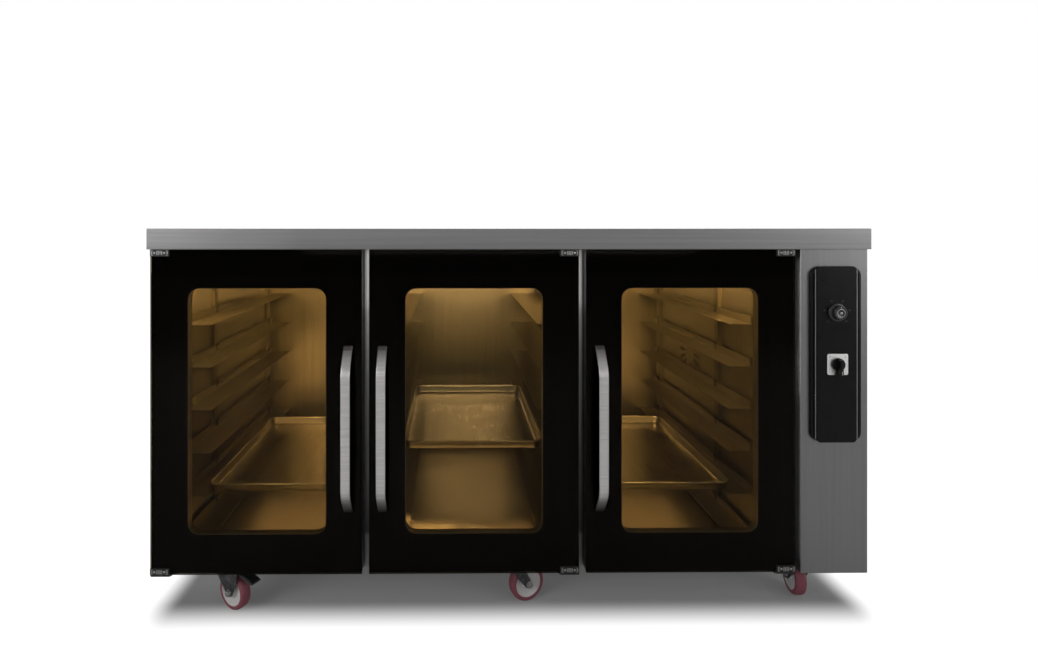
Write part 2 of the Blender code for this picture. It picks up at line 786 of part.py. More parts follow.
def make_door_frame(i, name, axis, centre):
    front = DOOR_FRONT + GLASS + SEAT_GAP
    outer_width = DOOR_WIDTH - 2 * FRAME_INSET
    outer_height = DOOR_HEIGHT - 2 * FRAME_INSET
    outer = rectangle(outer_width, outer_height, GLASS_EDGE, centre, 1)
    opening_width = WINDOW_WIDTH + 2 * OPENING_MARGIN
    opening_height = WINDOW_HEIGHT + 2 * OPENING_MARGIN
    opening = rectangle(opening_width, opening_height, WINDOW_RADIUS + OPENING_MARGIN, centre, 6)
    depth = DOOR_BACK - front
    frame = upright_plate(f"{name}_frame", [outer, opening], depth, front, FRAME_STEEL, axis)
    pocket_width = opening_width + 2 * INNER_GLASS_LAP + 2 * SEAT_GAP
    pocket_height = opening_height + 2 * INNER_GLASS_LAP + 2 * SEAT_GAP
    pocket_front = DOOR_BACK - INNER_GLASS - 2 * SEAT_GAP
    pocket = block(
        f"{name}_pocket",
        (centre[0] - pocket_width / 2, pocket_front, centre[1] - pocket_height / 2),
        (centre[0] + pocket_width / 2, DOOR_BACK + OVERRUN, centre[1] + pocket_height / 2),
    )
    cut(frame, hang_on(pocket, axis))
    for end, low, high, hole_low, hole_high in (
        (
            "top",
            DOOR_TOP - PIVOT_HEIGHT,
            DOOR_TOP,
            DOOR_TOP - PIN_LENGTH - PIN_END_ROOM,
            DOOR_TOP + OVERRUN,
        ),
        (
            "bottom",
            DOOR_BOTTOM,
            DOOR_BOTTOM + PIVOT_HEIGHT,
            DOOR_BOTTOM - OVERRUN,
            DOOR_BOTTOM + PIN_LENGTH + PIN_END_ROOM,
        ),
    ):
        join(frame, pivot_block(f"{name}_pivot_{end}", i, axis, low, high, 0, front + OVERRUN))
        hole = rod(
            f"{name}_pin_hole_{end}",
            (pivot_x(i), PIVOT_Y, hole_low),
            (pivot_x(i), PIVOT_Y, hole_high),
            PIN_RADIUS + PIN_CLEARANCE,
        )
        cut(frame, hang_on(hole, axis))
    return frame


def make_inner_glass(name, axis, centre):
    width = WINDOW_WIDTH + 2 * OPENING_MARGIN + 2 * INNER_GLASS_LAP
    height = WINDOW_HEIGHT + 2 * OPENING_MARGIN + 2 * INNER_GLASS_LAP
    front = DOOR_BACK - INNER_GLASS - SEAT_GAP
    outline = rectangle(width, height, 0, centre)
    return upright_plate(f"{name}_inner_glass", [outline], INNER_GLASS, front, TINTED_GLASS, axis)


def make_seal(name, axis, centre):
    width = DOOR_WIDTH - 2 * SEAL_INSET
    height = DOOR_HEIGHT - 2 * SEAL_INSET
    outer = rectangle(width, height, SEAL_RADIUS, centre)
    inner_width = width - 2 * SEAL_WIDTH
    inner_height = height - 2 * SEAL_WIDTH
    inner = rectangle(inner_width, inner_height, SEAL_RADIUS - SEAL_WIDTH, centre)
    thickness = SEAL_SPACE - 2 * SEAT_GAP
    front = DOOR_BACK + SEAT_GAP
    return upright_plate(f"{name}_seal", [outer, inner], thickness, front, SEAL_RUBBER, axis)


# Side view of the bowed bar: across is the distance from the glass, along is the height.
def handle_outline():
    half = HANDLE_LENGTH / 2
    out = HANDLE_PROJECTION
    inner = out - HANDLE_THICKNESS
    inner_half = half - HANDLE_FOOT
    bend = HANDLE_BEND
    inner_bend = bend - HANDLE_THICKNESS
    inner_rise = HANDLE_RISE * inner / out
    start = SEAT_GAP
    return filleted([
        (start, -half, 0),
        (out, -half + HANDLE_RISE, bend),
        (out, half - HANDLE_RISE, bend),
        (start, half, 0),
        (start, inner_half, 0),
        (inner, inner_half - inner_rise, inner_bend),
        (inner, inner_rise - inner_half, inner_bend),
        (start, -inner_half, 0),
    ], 5)


def make_handle(i, name, axis):
    free_edge = hinge_edge(i) + HINGE_SIDES[i] * DOOR_WIDTH
    bar = drawn_bar(f"{name}_handle", handle_outline(), HANDLE_WIDTH, BAR_STEEL)
    bar.rotation_euler = (math.pi / 2, 0, -math.pi / 2)
    bar.location = (free_edge - HINGE_SIDES[i] * HANDLE_INSET, DOOR_FRONT, HANDLE_HEIGHT)
    soften(bar, HANDLE_EDGE, 1)
    return shade_round(hang_on(bar, axis))


def make_doors():
    for i, name in enumerate(("door_left", "door_middle", "door_right")):
        axis = make_door_axis(i, name)
        centre = (DOOR_LEFTS[i] + DOOR_WIDTH / 2, (DOOR_TOP + DOOR_BOTTOM) / 2)
        make_door_glass(i, name, axis, centre)
        make_door_frame(i, name, axis, centre)
        make_inner_glass(name, axis, centre)
        make_seal(name, axis, centre)
        make_handle(i, name, axis)


# Tray racks, trays and light

UPRIGHT_PLACES = tuple(
    BODY_FRONT + SLIDE_START + UPRIGHT_WIDTH / 2 + share * (SLIDE_LENGTH - UPRIGHT_WIDTH)
    for share in UPRIGHT_SHARES
)


# Faces of the uprights that hold the slides, from left to right.
def rack_faces():
    left_end = BAY_LEFT + SEAT_GAP + UPRIGHT_DEPTH
    right_end = BAY_RIGHT - SEAT_GAP - UPRIGHT_DEPTH
    half = UPRIGHT_DEPTH / 2
    middles = [(centre - half, centre + half) for centre in MULLION_CENTRES]
    return [(None, left_end), *middles, (right_end, None)]


def bay_middle(i):
    faces = rack_faces()
    return (faces[i][1] + faces[i + 1][0]) / 2


def slide_reach():
    return TRAY_WIDTH / 2 - TRAY_RIM - TRAY_LAP


# L-shaped slide: a flange against the uprights and a level ledge that reaches into the bay.
def make_slide(name, face, tip, height):
    side = 1 if tip > face else -1
    root = face - side * SLIDE_SHEET / 2
    outline = [
        (root, height),
        (tip, height),
        (tip, height + SLIDE_SHEET),
        (root + side * SLIDE_SHEET, height + SLIDE_SHEET),
        (root + side * SLIDE_SHEET, height + SLIDE_FLANGE),
        (root, height + SLIDE_FLANGE),
    ]
    slide = plate(name, [outline], SLIDE_LENGTH)
    slide.rotation_euler = FRONT_FACING
    slide.location.y = BODY_FRONT + SLIDE_START + SLIDE_LENGTH / 2
    return slide


def make_racks():
    faces = rack_faces()
    for i, name in enumerate(("rack_left", "rack_mullion_left", "rack_mullion_right", "rack_right")):
        low, high = faces[i]
        low = BAY_LEFT + SEAT_GAP if low is None else low
        high = BAY_RIGHT - SEAT_GAP if high is None else high
        uprights = []
        for j, y in enumerate(UPRIGHT_PLACES):
            uprights.append(block(
                name if j == 0 else f"{name}_upright_{j}",
                (low, y - UPRIGHT_WIDTH / 2, FLOOR + SEAT_GAP),
                (high, y + UPRIGHT_WIDTH / 2, CEILING - UPRIGHT_TOP_ROOM),
                INNER_STEEL if j == 0 else None,
            ))
        rack = uprights[0]
        for level in range(SLIDE_LEVELS):
            height = FLOOR + FIRST_SLIDE + level * SLIDE_SPACING
            if i > 0:
                tip = bay_middle(i - 1) + slide_reach()
                join(rack, make_slide(f"{name}_slide_l{level}", low, tip, height))
            if i < 3:
                tip = bay_middle(i) - slide_reach()
                join(rack, make_slide(f"{name}_slide_r{level}", high, tip, height))
        join(rack, *uprights[1:])


def make_trays():
    for i, side in enumerate(("left", "middle", "right")):
        width = TRAY_WIDTH - 2 * TRAY_RIM
        depth = TRAY_DEPTH - 2 * TRAY_RIM
        shape = bmesh.new()
        bmesh.ops.create_cube(shape, size=1)
        bmesh.ops.scale(shape, vec=(width, depth, TRAY_HEIGHT), verts=shape.verts)
        upright = [edge for edge in shape.edges if edge.verts[0].co.xy == edge.verts[1].co.xy]
        bmesh.ops.bevel(
            shape, geom=upright, offset=TRAY_CORNER, segments=3, affect="EDGES", profile=CIRCULAR
        )
        top = [face for face in shape.faces if face.normal.z > 0.5]
        bmesh.ops.delete(shape, geom=top, context="FACES")
        border = [edge for edge in shape.edges if edge.is_boundary]
        grown = bmesh.ops.extrude_edge_only(shape, edges=border)["geom"]
        rim = [item for item in grown if isinstance(item, bmesh.types.BMVert)]
        widen = (TRAY_WIDTH / width, TRAY_DEPTH / depth, 1)
        bmesh.ops.scale(shape, vec=widen, verts=rim)
        bmesh.ops.recalc_face_normals(shape, faces=shape.faces)
        tray = from_shape(f"tray_{side}", shape, INNER_STEEL, None)
        level = FLOOR + FIRST_SLIDE + TRAY_LEVELS[i] * SLIDE_SPACING + SLIDE_SHEET
        tray.location = (
            bay_middle(i),
            BODY_FRONT + TRAY_START + TRAY_DEPTH / 2,
            level + SEAT_GAP + TRAY_HEIGHT / 2,
        )
        wall = tray.modifiers.new("sheet", "SOLIDIFY")
        wall.thickness = TRAY_SHEET
        wall.offset = 1


def make_light_bar():
    low = (BAY_LEFT + LIGHT_END_ROOM, BODY_FRONT + LIGHT_START, CEILING - LIGHT_HEIGHT)
    high = (BAY_RIGHT - LIGHT_END_ROOM, BODY_FRONT + LIGHT_START + LIGHT_DEPTH, CEILING - SEAT_GAP)
    return soften(block("light_bar", low, high, LIGHT_LENS), LIGHT_EDGE)


# Control column


# The cover is one folded sheet: a left cheek, the front and the right side of the column.
def make_column_cover():
    inset = COVER_SHEET / 2
    left = COLUMN_LEFT + SEAT_GAP + inset
    right = BODY_RIGHT - inset
    front = COLUMN_FRONT + inset
    cheek_end = BODY_FRONT - SEAT_GAP
    corners = [(left, cheek_end), *fold_line(left, right, front), (right, BODY_BACK - SEAT_GAP)]
    shape = bmesh.new()
    low = [shape.verts.new((x, y, BODY_BOTTOM)) for x, y in corners]
    for first, second in zip(low, low[1:]):
        shape.edges.new((first, second))
    raised = bmesh.ops.extrude_edge_only(shape, edges=shape.edges)["geom"]
    high = [item for item in raised if isinstance(item, bmesh.types.BMVert)]
    bmesh.ops.translate(shape, vec=(0, 0, BODY_HEIGHT - SEAT_GAP), verts=high)
    bmesh.ops.recalc_face_normals(shape, faces=shape.faces)
    cover = from_shape("column_cover", shape, STAINLESS, None)
    sheet = cover.modifiers.new("sheet", "SOLIDIFY")
    sheet.thickness = COVER_SHEET
    sheet.offset = 0
    sheet.use_even_offset = True
    for name, height in (("knob_hole", KNOB_HEIGHT), ("switch_hole", SWITCH_HEIGHT)):
        cut(cover, rod(
            f"cover_{name}",
            (COLUMN_MIDDLE, COLUMN_FRONT - OVERRUN, height),
            (COLUMN_MIDDLE, COLUMN_FRONT + COVER_SHEET + OVERRUN, height),
            SPINDLE_HOLE_RADIUS,
        ))
    return cover


def fold_line(left, right, front):
    bend = COVER_BEND
    first = arc((left + bend, front + bend), bend, math.pi, 1.5 * math.pi, 3)
    second = arc((right - bend, front + bend), bend, 1.5 * math.pi, 2 * math.pi, 3)
    return first + second


def front_plate(name, outlines, thickness, front, look=None):
    sheet = plate(name, outlines, thickness, look)
    sheet.rotation_euler = FRONT_FACING
    sheet.location = (0, front + thickness / 2, 0)
    return sheet


def make_control_panel():
    middle = BODY_TOP + WORKTOP_THICKNESS - PANEL_TOP - PANEL_HEIGHT / 2
    centre = (COLUMN_MIDDLE, middle)
    base_front = COLUMN_FRONT - SEAT_GAP - PANEL_BASE
    outline = rectangle(PANEL_WIDTH, PANEL_HEIGHT, PANEL_RADIUS, centre)
    panel = front_plate("control_panel", [outline], PANEL_BASE, base_front, BLACK_PLASTIC)
    soften(panel, PANEL_ROUND, 1)
    strip_height = PANEL_HEIGHT + 2 * PANEL_STRIP_OVER
    strip_outline = rectangle(PANEL_STRIP_WIDTH, strip_height, STRIP_RADIUS, centre)
    strip = front_plate("panel_strip", [strip_outline], PANEL_BASE + PANEL_STRIP, PANEL_FRONT)
    soften(strip, PANEL_ROUND, 1)
    join(panel, strip)
    for name, height in (("knob_hole", KNOB_HEIGHT), ("switch_hole", SWITCH_HEIGHT)):
        cut(panel, rod(
            f"panel_{name}",
            (COLUMN_MIDDLE, PANEL_FRONT - OVERRUN, height),
            (COLUMN_MIDDLE, COLUMN_FRONT + OVERRUN, height),
            SPINDLE_HOLE_RADIUS,
        ))
    return panel


def make_thermostat():
    width, depth, height = THERMOSTAT_SIZE
    front = COLUMN_FRONT + COVER_SHEET + SEAT_GAP
    body = block(
        "thermostat_body",
        (COLUMN_MIDDLE - width / 2, front, KNOB_HEIGHT - height / 2),
        (COLUMN_MIDDLE + width / 2, front + depth, KNOB_HEIGHT + height / 2),
        GREY_PLASTIC,
    )
    soften(body, SWITCH_BODY_EDGE, 1)
    return cut(body, rod(
        "thermostat_bore",
        (COLUMN_MIDDLE, front - OVERRUN, KNOB_HEIGHT),
        (COLUMN_MIDDLE, front + SPINDLE_DEPTH + OVERRUN, KNOB_HEIGHT),
        SPINDLE_RADIUS + SPINDLE_CLEARANCE,
    ))


def make_knob():
    axis = joint_axis("thermostat_knob_axis", (COLUMN_MIDDLE, PANEL_FRONT, KNOB_HEIGHT))
    grip_edge = KNOB_SKIRT / 4
    top = KNOB_DEPTH
    tail = PANEL_FRONT - COLUMN_FRONT - COVER_SHEET - SEAT_GAP - SPINDLE_DEPTH
    profile = [
        (0, top),
        (KNOB_GRIP_RADIUS - 2 * grip_edge, top),
        (KNOB_GRIP_RADIUS, top - 2 * grip_edge),
        (KNOB_GRIP_RADIUS + grip_edge, KNOB_SKIRT + SEAT_GAP),
        (KNOB_RADIUS, KNOB_SKIRT),
        (KNOB_RADIUS, SEAT_GAP),
        (SPINDLE_RADIUS, SEAT_GAP),
        (SPINDLE_RADIUS, tail),
        (0, tail),
    ]
    knob = turned("thermostat_knob", profile, BLACK_PLASTIC, axis)
    knob.rotation_euler = FRONT_FACING
    return shade_round(knob)


def make_cam_switch():
    front = COLUMN_FRONT + COVER_SHEET + SEAT_GAP
    width, depth, height = SWITCH_SIZE
    body = block(
        "cam_switch_body",
        (COLUMN_MIDDLE - width / 2, front, SWITCH_HEIGHT - height / 2),
        (COLUMN_MIDDLE + width / 2, front + depth, SWITCH_HEIGHT + height / 2),
        GREY_PLASTIC,
    )
    soften(body, SWITCH_BODY_EDGE, 1)
    cut(body, rod(
        "cam_switch_bore",
        (COLUMN_MIDDLE, front - OVERRUN, SWITCH_HEIGHT),
        (COLUMN_MIDDLE, front + SPINDLE_DEPTH + OVERRUN, SWITCH_HEIGHT),
        SPINDLE_RADIUS + SPINDLE_CLEARANCE,
    ))
    plate_front = PANEL_FRONT - SEAT_GAP - SWITCH_PLATE_THICKNESS
    centre = (COLUMN_MIDDLE, SWITCH_HEIGHT)
    outlines = [
        rectangle(SWITCH_PLATE, SWITCH_PLATE, SWITCH_PLATE_RADIUS, centre),
        circle(SPINDLE_HOLE_RADIUS, centre),
    ]
    front_plate("cam_switch_plate", outlines, SWITCH_PLATE_THICKNESS, plate_front, PLATE_SILVER)
    make_cam_handle(plate_front)


# Round handle with a pointer that reaches down at rest and a raised grip bar across it.
def make_cam_handle(plate_front):
    axis = joint_axis("cam_handle_axis", (COLUMN_MIDDLE, plate_front, SWITCH_HEIGHT))
    half = CAM_POINTER_WIDTH / 2
    turn = math.asin(half / CAM_RADIUS)
    down = -math.pi / 2
    outline = arc((0, 0), CAM_RADIUS, down + turn, down - turn + math.tau, ROUND)
    tip = -CAM_POINTER_LENGTH
    outline += [(-half, tip + half), (0, tip), (half, tip + half)]
    handle = plate("cam_handle", [outline], CAM_DEPTH, BLACK_PLASTIC, axis)
    handle.rotation_euler = FRONT_FACING
    handle.location = (0, -SEAT_GAP - CAM_DEPTH / 2, 0)
    grip_half = CAM_GRIP_WIDTH / 2
    grip = block(
        "cam_grip",
        (-grip_half, -SEAT_GAP - CAM_DEPTH - CAM_GRIP_DEPTH, half - CAM_POINTER_LENGTH),
        (grip_half, -SEAT_GAP - CAM_DEPTH / 2, CAM_RADIUS - half),
        None,
        axis,
    )
    soften(grip, grip_half / 2)
    behind = COLUMN_FRONT + COVER_SHEET + SEAT_GAP + SPINDLE_DEPTH - plate_front
    spindle = rod("cam_spindle", (0, -CAM_DEPTH / 2, 0), (0, behind, 0), SPINDLE_RADIUS, None, axis)
    return join(handle, grip, spindle)


def make_contactor_box():
    width, depth, height = CONTACTOR_SIZE
    left = COLUMN_LEFT + SEAT_GAP
    front = BODY_FRONT + CONTACTOR_SETBACK
    box = block(
        "contactor_box",
        (left, front, CONTACTOR_HEIGHT),
        (left + width - CONTACTOR_STEP, front + depth, CONTACTOR_HEIGHT + height),
        GREY_PLASTIC,
    )
    step = block(
        "contactor_step",
        (left + width / 2, front + CONTACTOR_STEP, CONTACTOR_HEIGHT + CONTACTOR_STEP),
        (left + width, front + depth - CONTACTOR_STEP, CONTACTOR_HEIGHT + height - CONTACTOR_STEP),
    )
    return join(box, step)


# Fan, heater, boiler and connections


def make_motor():
    start = COLUMN_LEFT + SEAT_GAP
    profile = [
        (0, MOTOR_LENGTH),
        (MOTOR_END_RADIUS, MOTOR_LENGTH),
        (MOTOR_RADIUS, MOTOR_LENGTH - MOTOR_RADIUS + MOTOR_END_RADIUS),
        (MOTOR_RADIUS, MOTOR_FLANGE),
        (MOTOR_FLANGE_RADIUS, MOTOR_FLANGE),
        (MOTOR_FLANGE_RADIUS, 0),
        (FAN_SHAFT_RADIUS + SPINDLE_CLEARANCE, 0),
        (FAN_SHAFT_RADIUS + SPINDLE_CLEARANCE, FAN_SHAFT_DEPTH + OVERRUN),
        (0, FAN_SHAFT_DEPTH + OVERRUN),
    ]
    motor = turned("fan_motor", profile, GREY_PLASTIC)
    motor.rotation_euler = (0, math.pi / 2, 0)
    motor.location = (start, FAN_Y, FAN_HEIGHT)
    return shade_round(motor)


# The impeller is modelled with its shaft along local Z, which points from the bay to the motor.
def make_impeller():
    disc_place = BAY_RIGHT + FAN_POCKET_DEPTH - IMPELLER_BACK_ROOM
    axis = joint_axis("fan_impeller_axis", (disc_place, FAN_Y, FAN_HEIGHT))
    axis.rotation_euler = (0, math.pi / 2, 0)
    shaft_end = COLUMN_LEFT + SEAT_GAP + FAN_SHAFT_DEPTH - disc_place
    profile = [
        (0, shaft_end),
        (FAN_SHAFT_RADIUS, shaft_end),
        (FAN_SHAFT_RADIUS, 0),
        (IMPELLER_RADIUS, 0),
        (IMPELLER_RADIUS, -IMPELLER_DISC),
        (HUB_RADIUS, -IMPELLER_DISC),
        (HUB_RADIUS, -IMPELLER_WIDTH / 2),
        (0, -IMPELLER_WIDTH / 2),
    ]
    impeller = turned("fan_impeller", profile, ZINC, axis, steps=ROUND)
    ring_profile = [
        (IMPELLER_RADIUS - BLADE_LENGTH, -IMPELLER_WIDTH + IMPELLER_DISC),
        (IMPELLER_RADIUS, -IMPELLER_WIDTH + IMPELLER_DISC),
        (IMPELLER_RADIUS, -IMPELLER_WIDTH),
        (IMPELLER_RADIUS - BLADE_LENGTH, -IMPELLER_WIDTH),
    ]
    ring = turned("impeller_ring", ring_profile, None, axis, closed=True, steps=ROUND)
    blades = []
    for i in range(BLADE_COUNT):
        turn = math.tau * i / BLADE_COUNT
        blade = block(
            f"impeller_blade_{i}",
            (-BLADE_LENGTH / 2, -BLADE_SHEET / 2, -IMPELLER_WIDTH + IMPELLER_DISC / 2),
            (BLADE_LENGTH / 2, BLADE_SHEET / 2, -IMPELLER_DISC / 2),
            None,
            axis,
        )
        reach = IMPELLER_RADIUS - BLADE_LENGTH / 2
        blade.location.x = reach * math.cos(turn)
        blade.location.y = reach * math.sin(turn)
        blade.rotation_euler = (0, 0, turn + math.radians(BLADE_SWEEP))
        blades.append(blade)
    join(impeller, *blades, ring)
    return impeller


def make_guard():
    outlines = [circle(GUARD_RADIUS, steps=FINE)]
    half = GUARD_SLOT_WIDTH / 2
    for i in range(GUARD_SLOTS):
        turn = math.tau * i / GUARD_SLOTS
        slot = arc((GUARD_SLOT_OUTER - half, 0), half, -math.pi / 2, math.pi / 2, 2)
        inner_half = half * GUARD_SLOT_INNER / GUARD_SLOT_OUTER
        slot += arc((GUARD_SLOT_INNER + inner_half, 0), inner_half, math.pi / 2, 1.5 * math.pi, 2)
        cos = math.cos(turn)
        sin = math.sin(turn)
        outlines.append([(x * cos - y * sin, x * sin + y * cos) for x, y in slot])
    guard = plate("fan_guard", outlines, GUARD_SHEET, INNER_STEEL)
    guard.rotation_euler = (0, math.pi / 2, 0)
    guard.location = (BAY_RIGHT + GUARD_SHEET / 2, FAN_Y, FAN_HEIGHT)
    return guard


def element_ends():
    half = math.radians(ELEMENT_GAP) / 2
    across = ELEMENT_RADIUS * math.sin(half)
    down = ELEMENT_RADIUS * math.cos(half)
    return [(FAN_Y - across, FAN_HEIGHT - down), (FAN_Y + across, FAN_HEIGHT - down)]


# One heating tube: a ring round the impeller whose ends turn back through the wall.
def make_element():
    ring_x = BAY_RIGHT + FAN_POCKET_DEPTH / 2
    half = math.radians(ELEMENT_GAP) / 2
    start = -math.pi / 2 + half
    ring = arc((FAN_Y, FAN_HEIGHT), ELEMENT_RADIUS, start, start + math.tau - 2 * half, FINE)
    last_y, last_z = ring[-1]
    first_y, first_z = ring[0]
    end_x = COLUMN_LEFT + ELEMENT_STUB
    route = [(end_x, first_y, first_z), (ring_x + ELEMENT_BEND, first_y, first_z)]
    route += [(ring_x, y, z) for y, z in ring]
    route += [(ring_x + ELEMENT_BEND, last_y, last_z), (end_x, last_y, last_z)]
    return shade_round(tube("heating_element", route, ELEMENT_TUBE, ZINC))


def steam_height():
    return FLOOR + SEAT_GAP + BOILER_HEIGHT - STEAM_PIPE_DROP


def make_boiler():
    top = BOILER_HEIGHT
    profile = [
        (0, top),
        (BOILER_RADIUS - BOILER_DOME, top),
        (BOILER_RADIUS, top - BOILER_DOME),
        (BOILER_RADIUS, 0),
        (0, 0),
    ]
    tank = turned("steam_boiler", profile, INNER_STEEL)
    tank.location = (COLUMN_MIDDLE, BOILER_Y, FLOOR + SEAT_GAP)
    z = steam_height()
    pipe = rod("steam_pipe", (BAY_RIGHT, BOILER_Y, z), (COLUMN_MIDDLE, BOILER_Y, z), STEAM_PIPE_RADIUS)
    z = FLOOR + INLET_RISE
    inlet = rod("water_inlet", (COLUMN_MIDDLE, BOILER_Y, z), (COLUMN_MIDDLE, BACK_Y, z), INLET_RADIUS)
    return shade_round(join(tank, pipe, inlet))


def make_gland():
    profile = [
        (GLAND_BORE, 0),
        (GLAND_RADIUS, 0),
        (GLAND_RADIUS, -WALL - GLAND_TAIL),
        (GLAND_BORE, -WALL - GLAND_TAIL),
    ]
    gland = turned("mains_gland", profile, BLACK_PLASTIC, closed=True)
    gland.rotation_euler = (-math.pi / 2, 0, 0)
    gland.location = (COLUMN_MIDDLE - BOILER_RADIUS, BACK_Y, GLAND_HEIGHT)
    return gland


# Casters: local +X is the trail, local origin on the floor under the swivel axis.


def leg_outline(brake):
    top = BODY_BOTTOM - CASTER_PLATE - RACE_HEIGHT - SEAT_GAP - CROWN_HEIGHT / 2
    half = LEG_WIDTH / 2
    start = -LEG_TOP_LENGTH / 2
    corners = [
        (start, top, 0),
        (start, top - CROWN_HEIGHT, 0),
        (TRAIL - half, WHEEL_RADIUS - half / 2, half / 2),
        (TRAIL, WHEEL_RADIUS - half, half / 2),
        (TRAIL + half, WHEEL_RADIUS - half / 2, half / 2),
    ]
    if brake:
        back, up = BRAKE_PIVOT
        ear = BRAKE_EAR_RADIUS
        corners += [
            (TRAIL + back + ear, WHEEL_RADIUS + up - 2 * ear, ear / 2),
            (TRAIL + back + ear, WHEEL_RADIUS + up + ear, ear / 2),
            (TRAIL, top, ear / 2),
        ]
    else:
        corners.append((-start, top, 0))
    return filleted(corners, 2)


def make_fork(name, axis, brake):
    crown_top = BODY_BOTTOM - CASTER_PLATE - RACE_HEIGHT - SEAT_GAP
    crown_low = crown_top - CROWN_HEIGHT
    fork = plate(f"{name}_fork", [circle(CROWN_RADIUS)], CROWN_HEIGHT, ZINC, axis)
    fork.location.z = (crown_top + crown_low) / 2
    for side in (-1, 1):
        leg = plate(f"{name}_leg_{side}", [leg_outline(brake)], FORK_SHEET, None, axis)
        leg.rotation_euler = FRONT_FACING
        leg.location = (0, side * (FORK_GAP + FORK_SHEET / 2), 0)
        join(fork, leg)
    outer = FORK_GAP + FORK_SHEET
    z = WHEEL_RADIUS
    reach = outer + BOLT_HEAD / 2
    axle = rod(f"{name}_axle", (TRAIL, -reach, z), (TRAIL, reach, z), AXLE_RADIUS, None, axis)
    join(fork, axle)
    for side in (-1, 1):
        inner = side * (outer - FORK_SHEET / 2)
        end = side * (outer + BOLT_HEAD)
        nut = rod(
            f"{name}_nut_{side}", (TRAIL, inner, z), (TRAIL, end, z), BOLT_HEAD_RADIUS, None, axis, 6
        )
        join(fork, nut)
    if brake:
        back, up = BRAKE_PIVOT
        x = TRAIL + back
        z = WHEEL_RADIUS + up
        pin = rod(f"{name}_brake_pin", (x, -outer, z), (x, outer, z), BRAKE_PIN_RADIUS, None, axis)
        join(fork, pin)
    return fork


def make_wheel(name, axis):
    half = WHEEL_WIDTH / 2
    hub = HUB_WIDTH / 2
    web = WEB_WIDTH / 2
    rim = WHEEL_RADIUS - TREAD - WEB_ROUND
    bore = AXLE_RADIUS + AXLE_CLEARANCE
    profile = [
        (bore, hub),
        (WHEEL_HUB_RADIUS, hub),
        (WHEEL_HUB_RADIUS + WEB_ROUND, web),
        (rim - WEB_ROUND, web),
        (rim, half),
        (WHEEL_RADIUS - TREAD_ROUND, half),
        (WHEEL_RADIUS, half - TREAD_ROUND),
    ]
    profile += [(radius, -along) for radius, along in reversed(profile)]
    hub_axis = joint_axis(f"{name}_wheel_axis", (TRAIL, 0, WHEEL_RADIUS))
    hub_axis.parent = axis
    hub_axis.rotation_euler = FRONT_FACING
    wheel = turned(f"{name}_wheel", profile, RED_TREAD, hub_axis, closed=True, steps=ROUND)
    return shade_round(wheel)


# Pedal that hooks over the brake pin and slopes down behind the wheel.
def make_brake(name, axis):
    back, up = BRAKE_PIVOT
    pivot = joint_axis(f"{name}_brake_axis", (TRAIL + back, 0, WHEEL_RADIUS + up))
    pivot.parent = axis
    inner = BRAKE_PIN_RADIUS + PIN_CLEARANCE
    outer = inner + BRAKE_SHEET
    slope = math.atan2(BRAKE_FALL, BRAKE_LENGTH)
    square = Vector((math.sin(slope), math.cos(slope)))
    down = Vector((math.cos(slope), -math.sin(slope))) * BRAKE_LENGTH
    lip = Vector((BRAKE_LIP, BRAKE_LIP / 2))
    top = square * outer + down
    low = square * inner + down
    outline = arc((0, 0), outer, math.pi, math.pi / 2 - slope, 7)
    outline += [tuple(point) for point in (top, top + lip, low + lip, low)]
    outline += arc((0, 0), inner, math.pi / 2 - slope, math.pi, 7)
    pedal = plate(f"{name}_brake", [outline], BRAKE_WIDTH, ZINC, pivot)
    pedal.rotation_euler = FRONT_FACING
    return pedal


def make_casters():
    for name, side, end, turn, brake in CASTERS:
        x, y = caster_place(side, end)
        axis = joint_axis(f"{name}_axis", (x, y, 0), math.radians(turn))
        make_fork(name, axis, brake)
        make_wheel(name, axis)
        if brake:
            make_brake(name, axis)


make_worktop()
make_side_panel()
make_back_panel()
make_header()
make_ceiling()
make_floor_pan()
make_mullions()
make_inner_wall()
make_doors()
make_racks()
make_trays()
make_light_bar()
make_column_cover()
make_control_panel()
make_thermostat()
make_knob()
make_cam_switch()
make_contactor_box()
make_motor()
make_impeller()
make_guard()
make_element()
make_boiler()
make_gland()
make_casters()
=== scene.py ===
import math

import bmesh
import bpy
from mathutils import Matrix, Vector


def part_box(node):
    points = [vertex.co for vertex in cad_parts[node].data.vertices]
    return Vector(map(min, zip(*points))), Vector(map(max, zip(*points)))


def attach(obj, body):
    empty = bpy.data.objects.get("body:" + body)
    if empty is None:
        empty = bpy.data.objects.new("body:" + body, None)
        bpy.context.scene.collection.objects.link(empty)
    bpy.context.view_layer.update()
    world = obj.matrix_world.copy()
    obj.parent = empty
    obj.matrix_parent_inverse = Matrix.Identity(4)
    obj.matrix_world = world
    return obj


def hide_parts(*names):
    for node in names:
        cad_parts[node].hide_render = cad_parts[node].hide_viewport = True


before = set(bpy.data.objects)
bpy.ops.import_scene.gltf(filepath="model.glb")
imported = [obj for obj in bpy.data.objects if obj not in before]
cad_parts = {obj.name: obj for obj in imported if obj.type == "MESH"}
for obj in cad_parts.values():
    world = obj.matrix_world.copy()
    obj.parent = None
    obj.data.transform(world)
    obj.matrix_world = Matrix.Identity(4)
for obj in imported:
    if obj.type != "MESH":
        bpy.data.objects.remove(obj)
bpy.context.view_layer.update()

mm = 0.001
sides = ("left", "middle", "right")
scene = bpy.context.scene


# shader helpers

def hexColour(text):
    channels = [int(text[i:i + 2], 16) / 255 for i in (0, 2, 4)]
    linear = [c / 12.92 if c <= 0.04045 else ((c + 0.055) / 1.055) ** 2.4 for c in channels]
    return (*linear, 1)


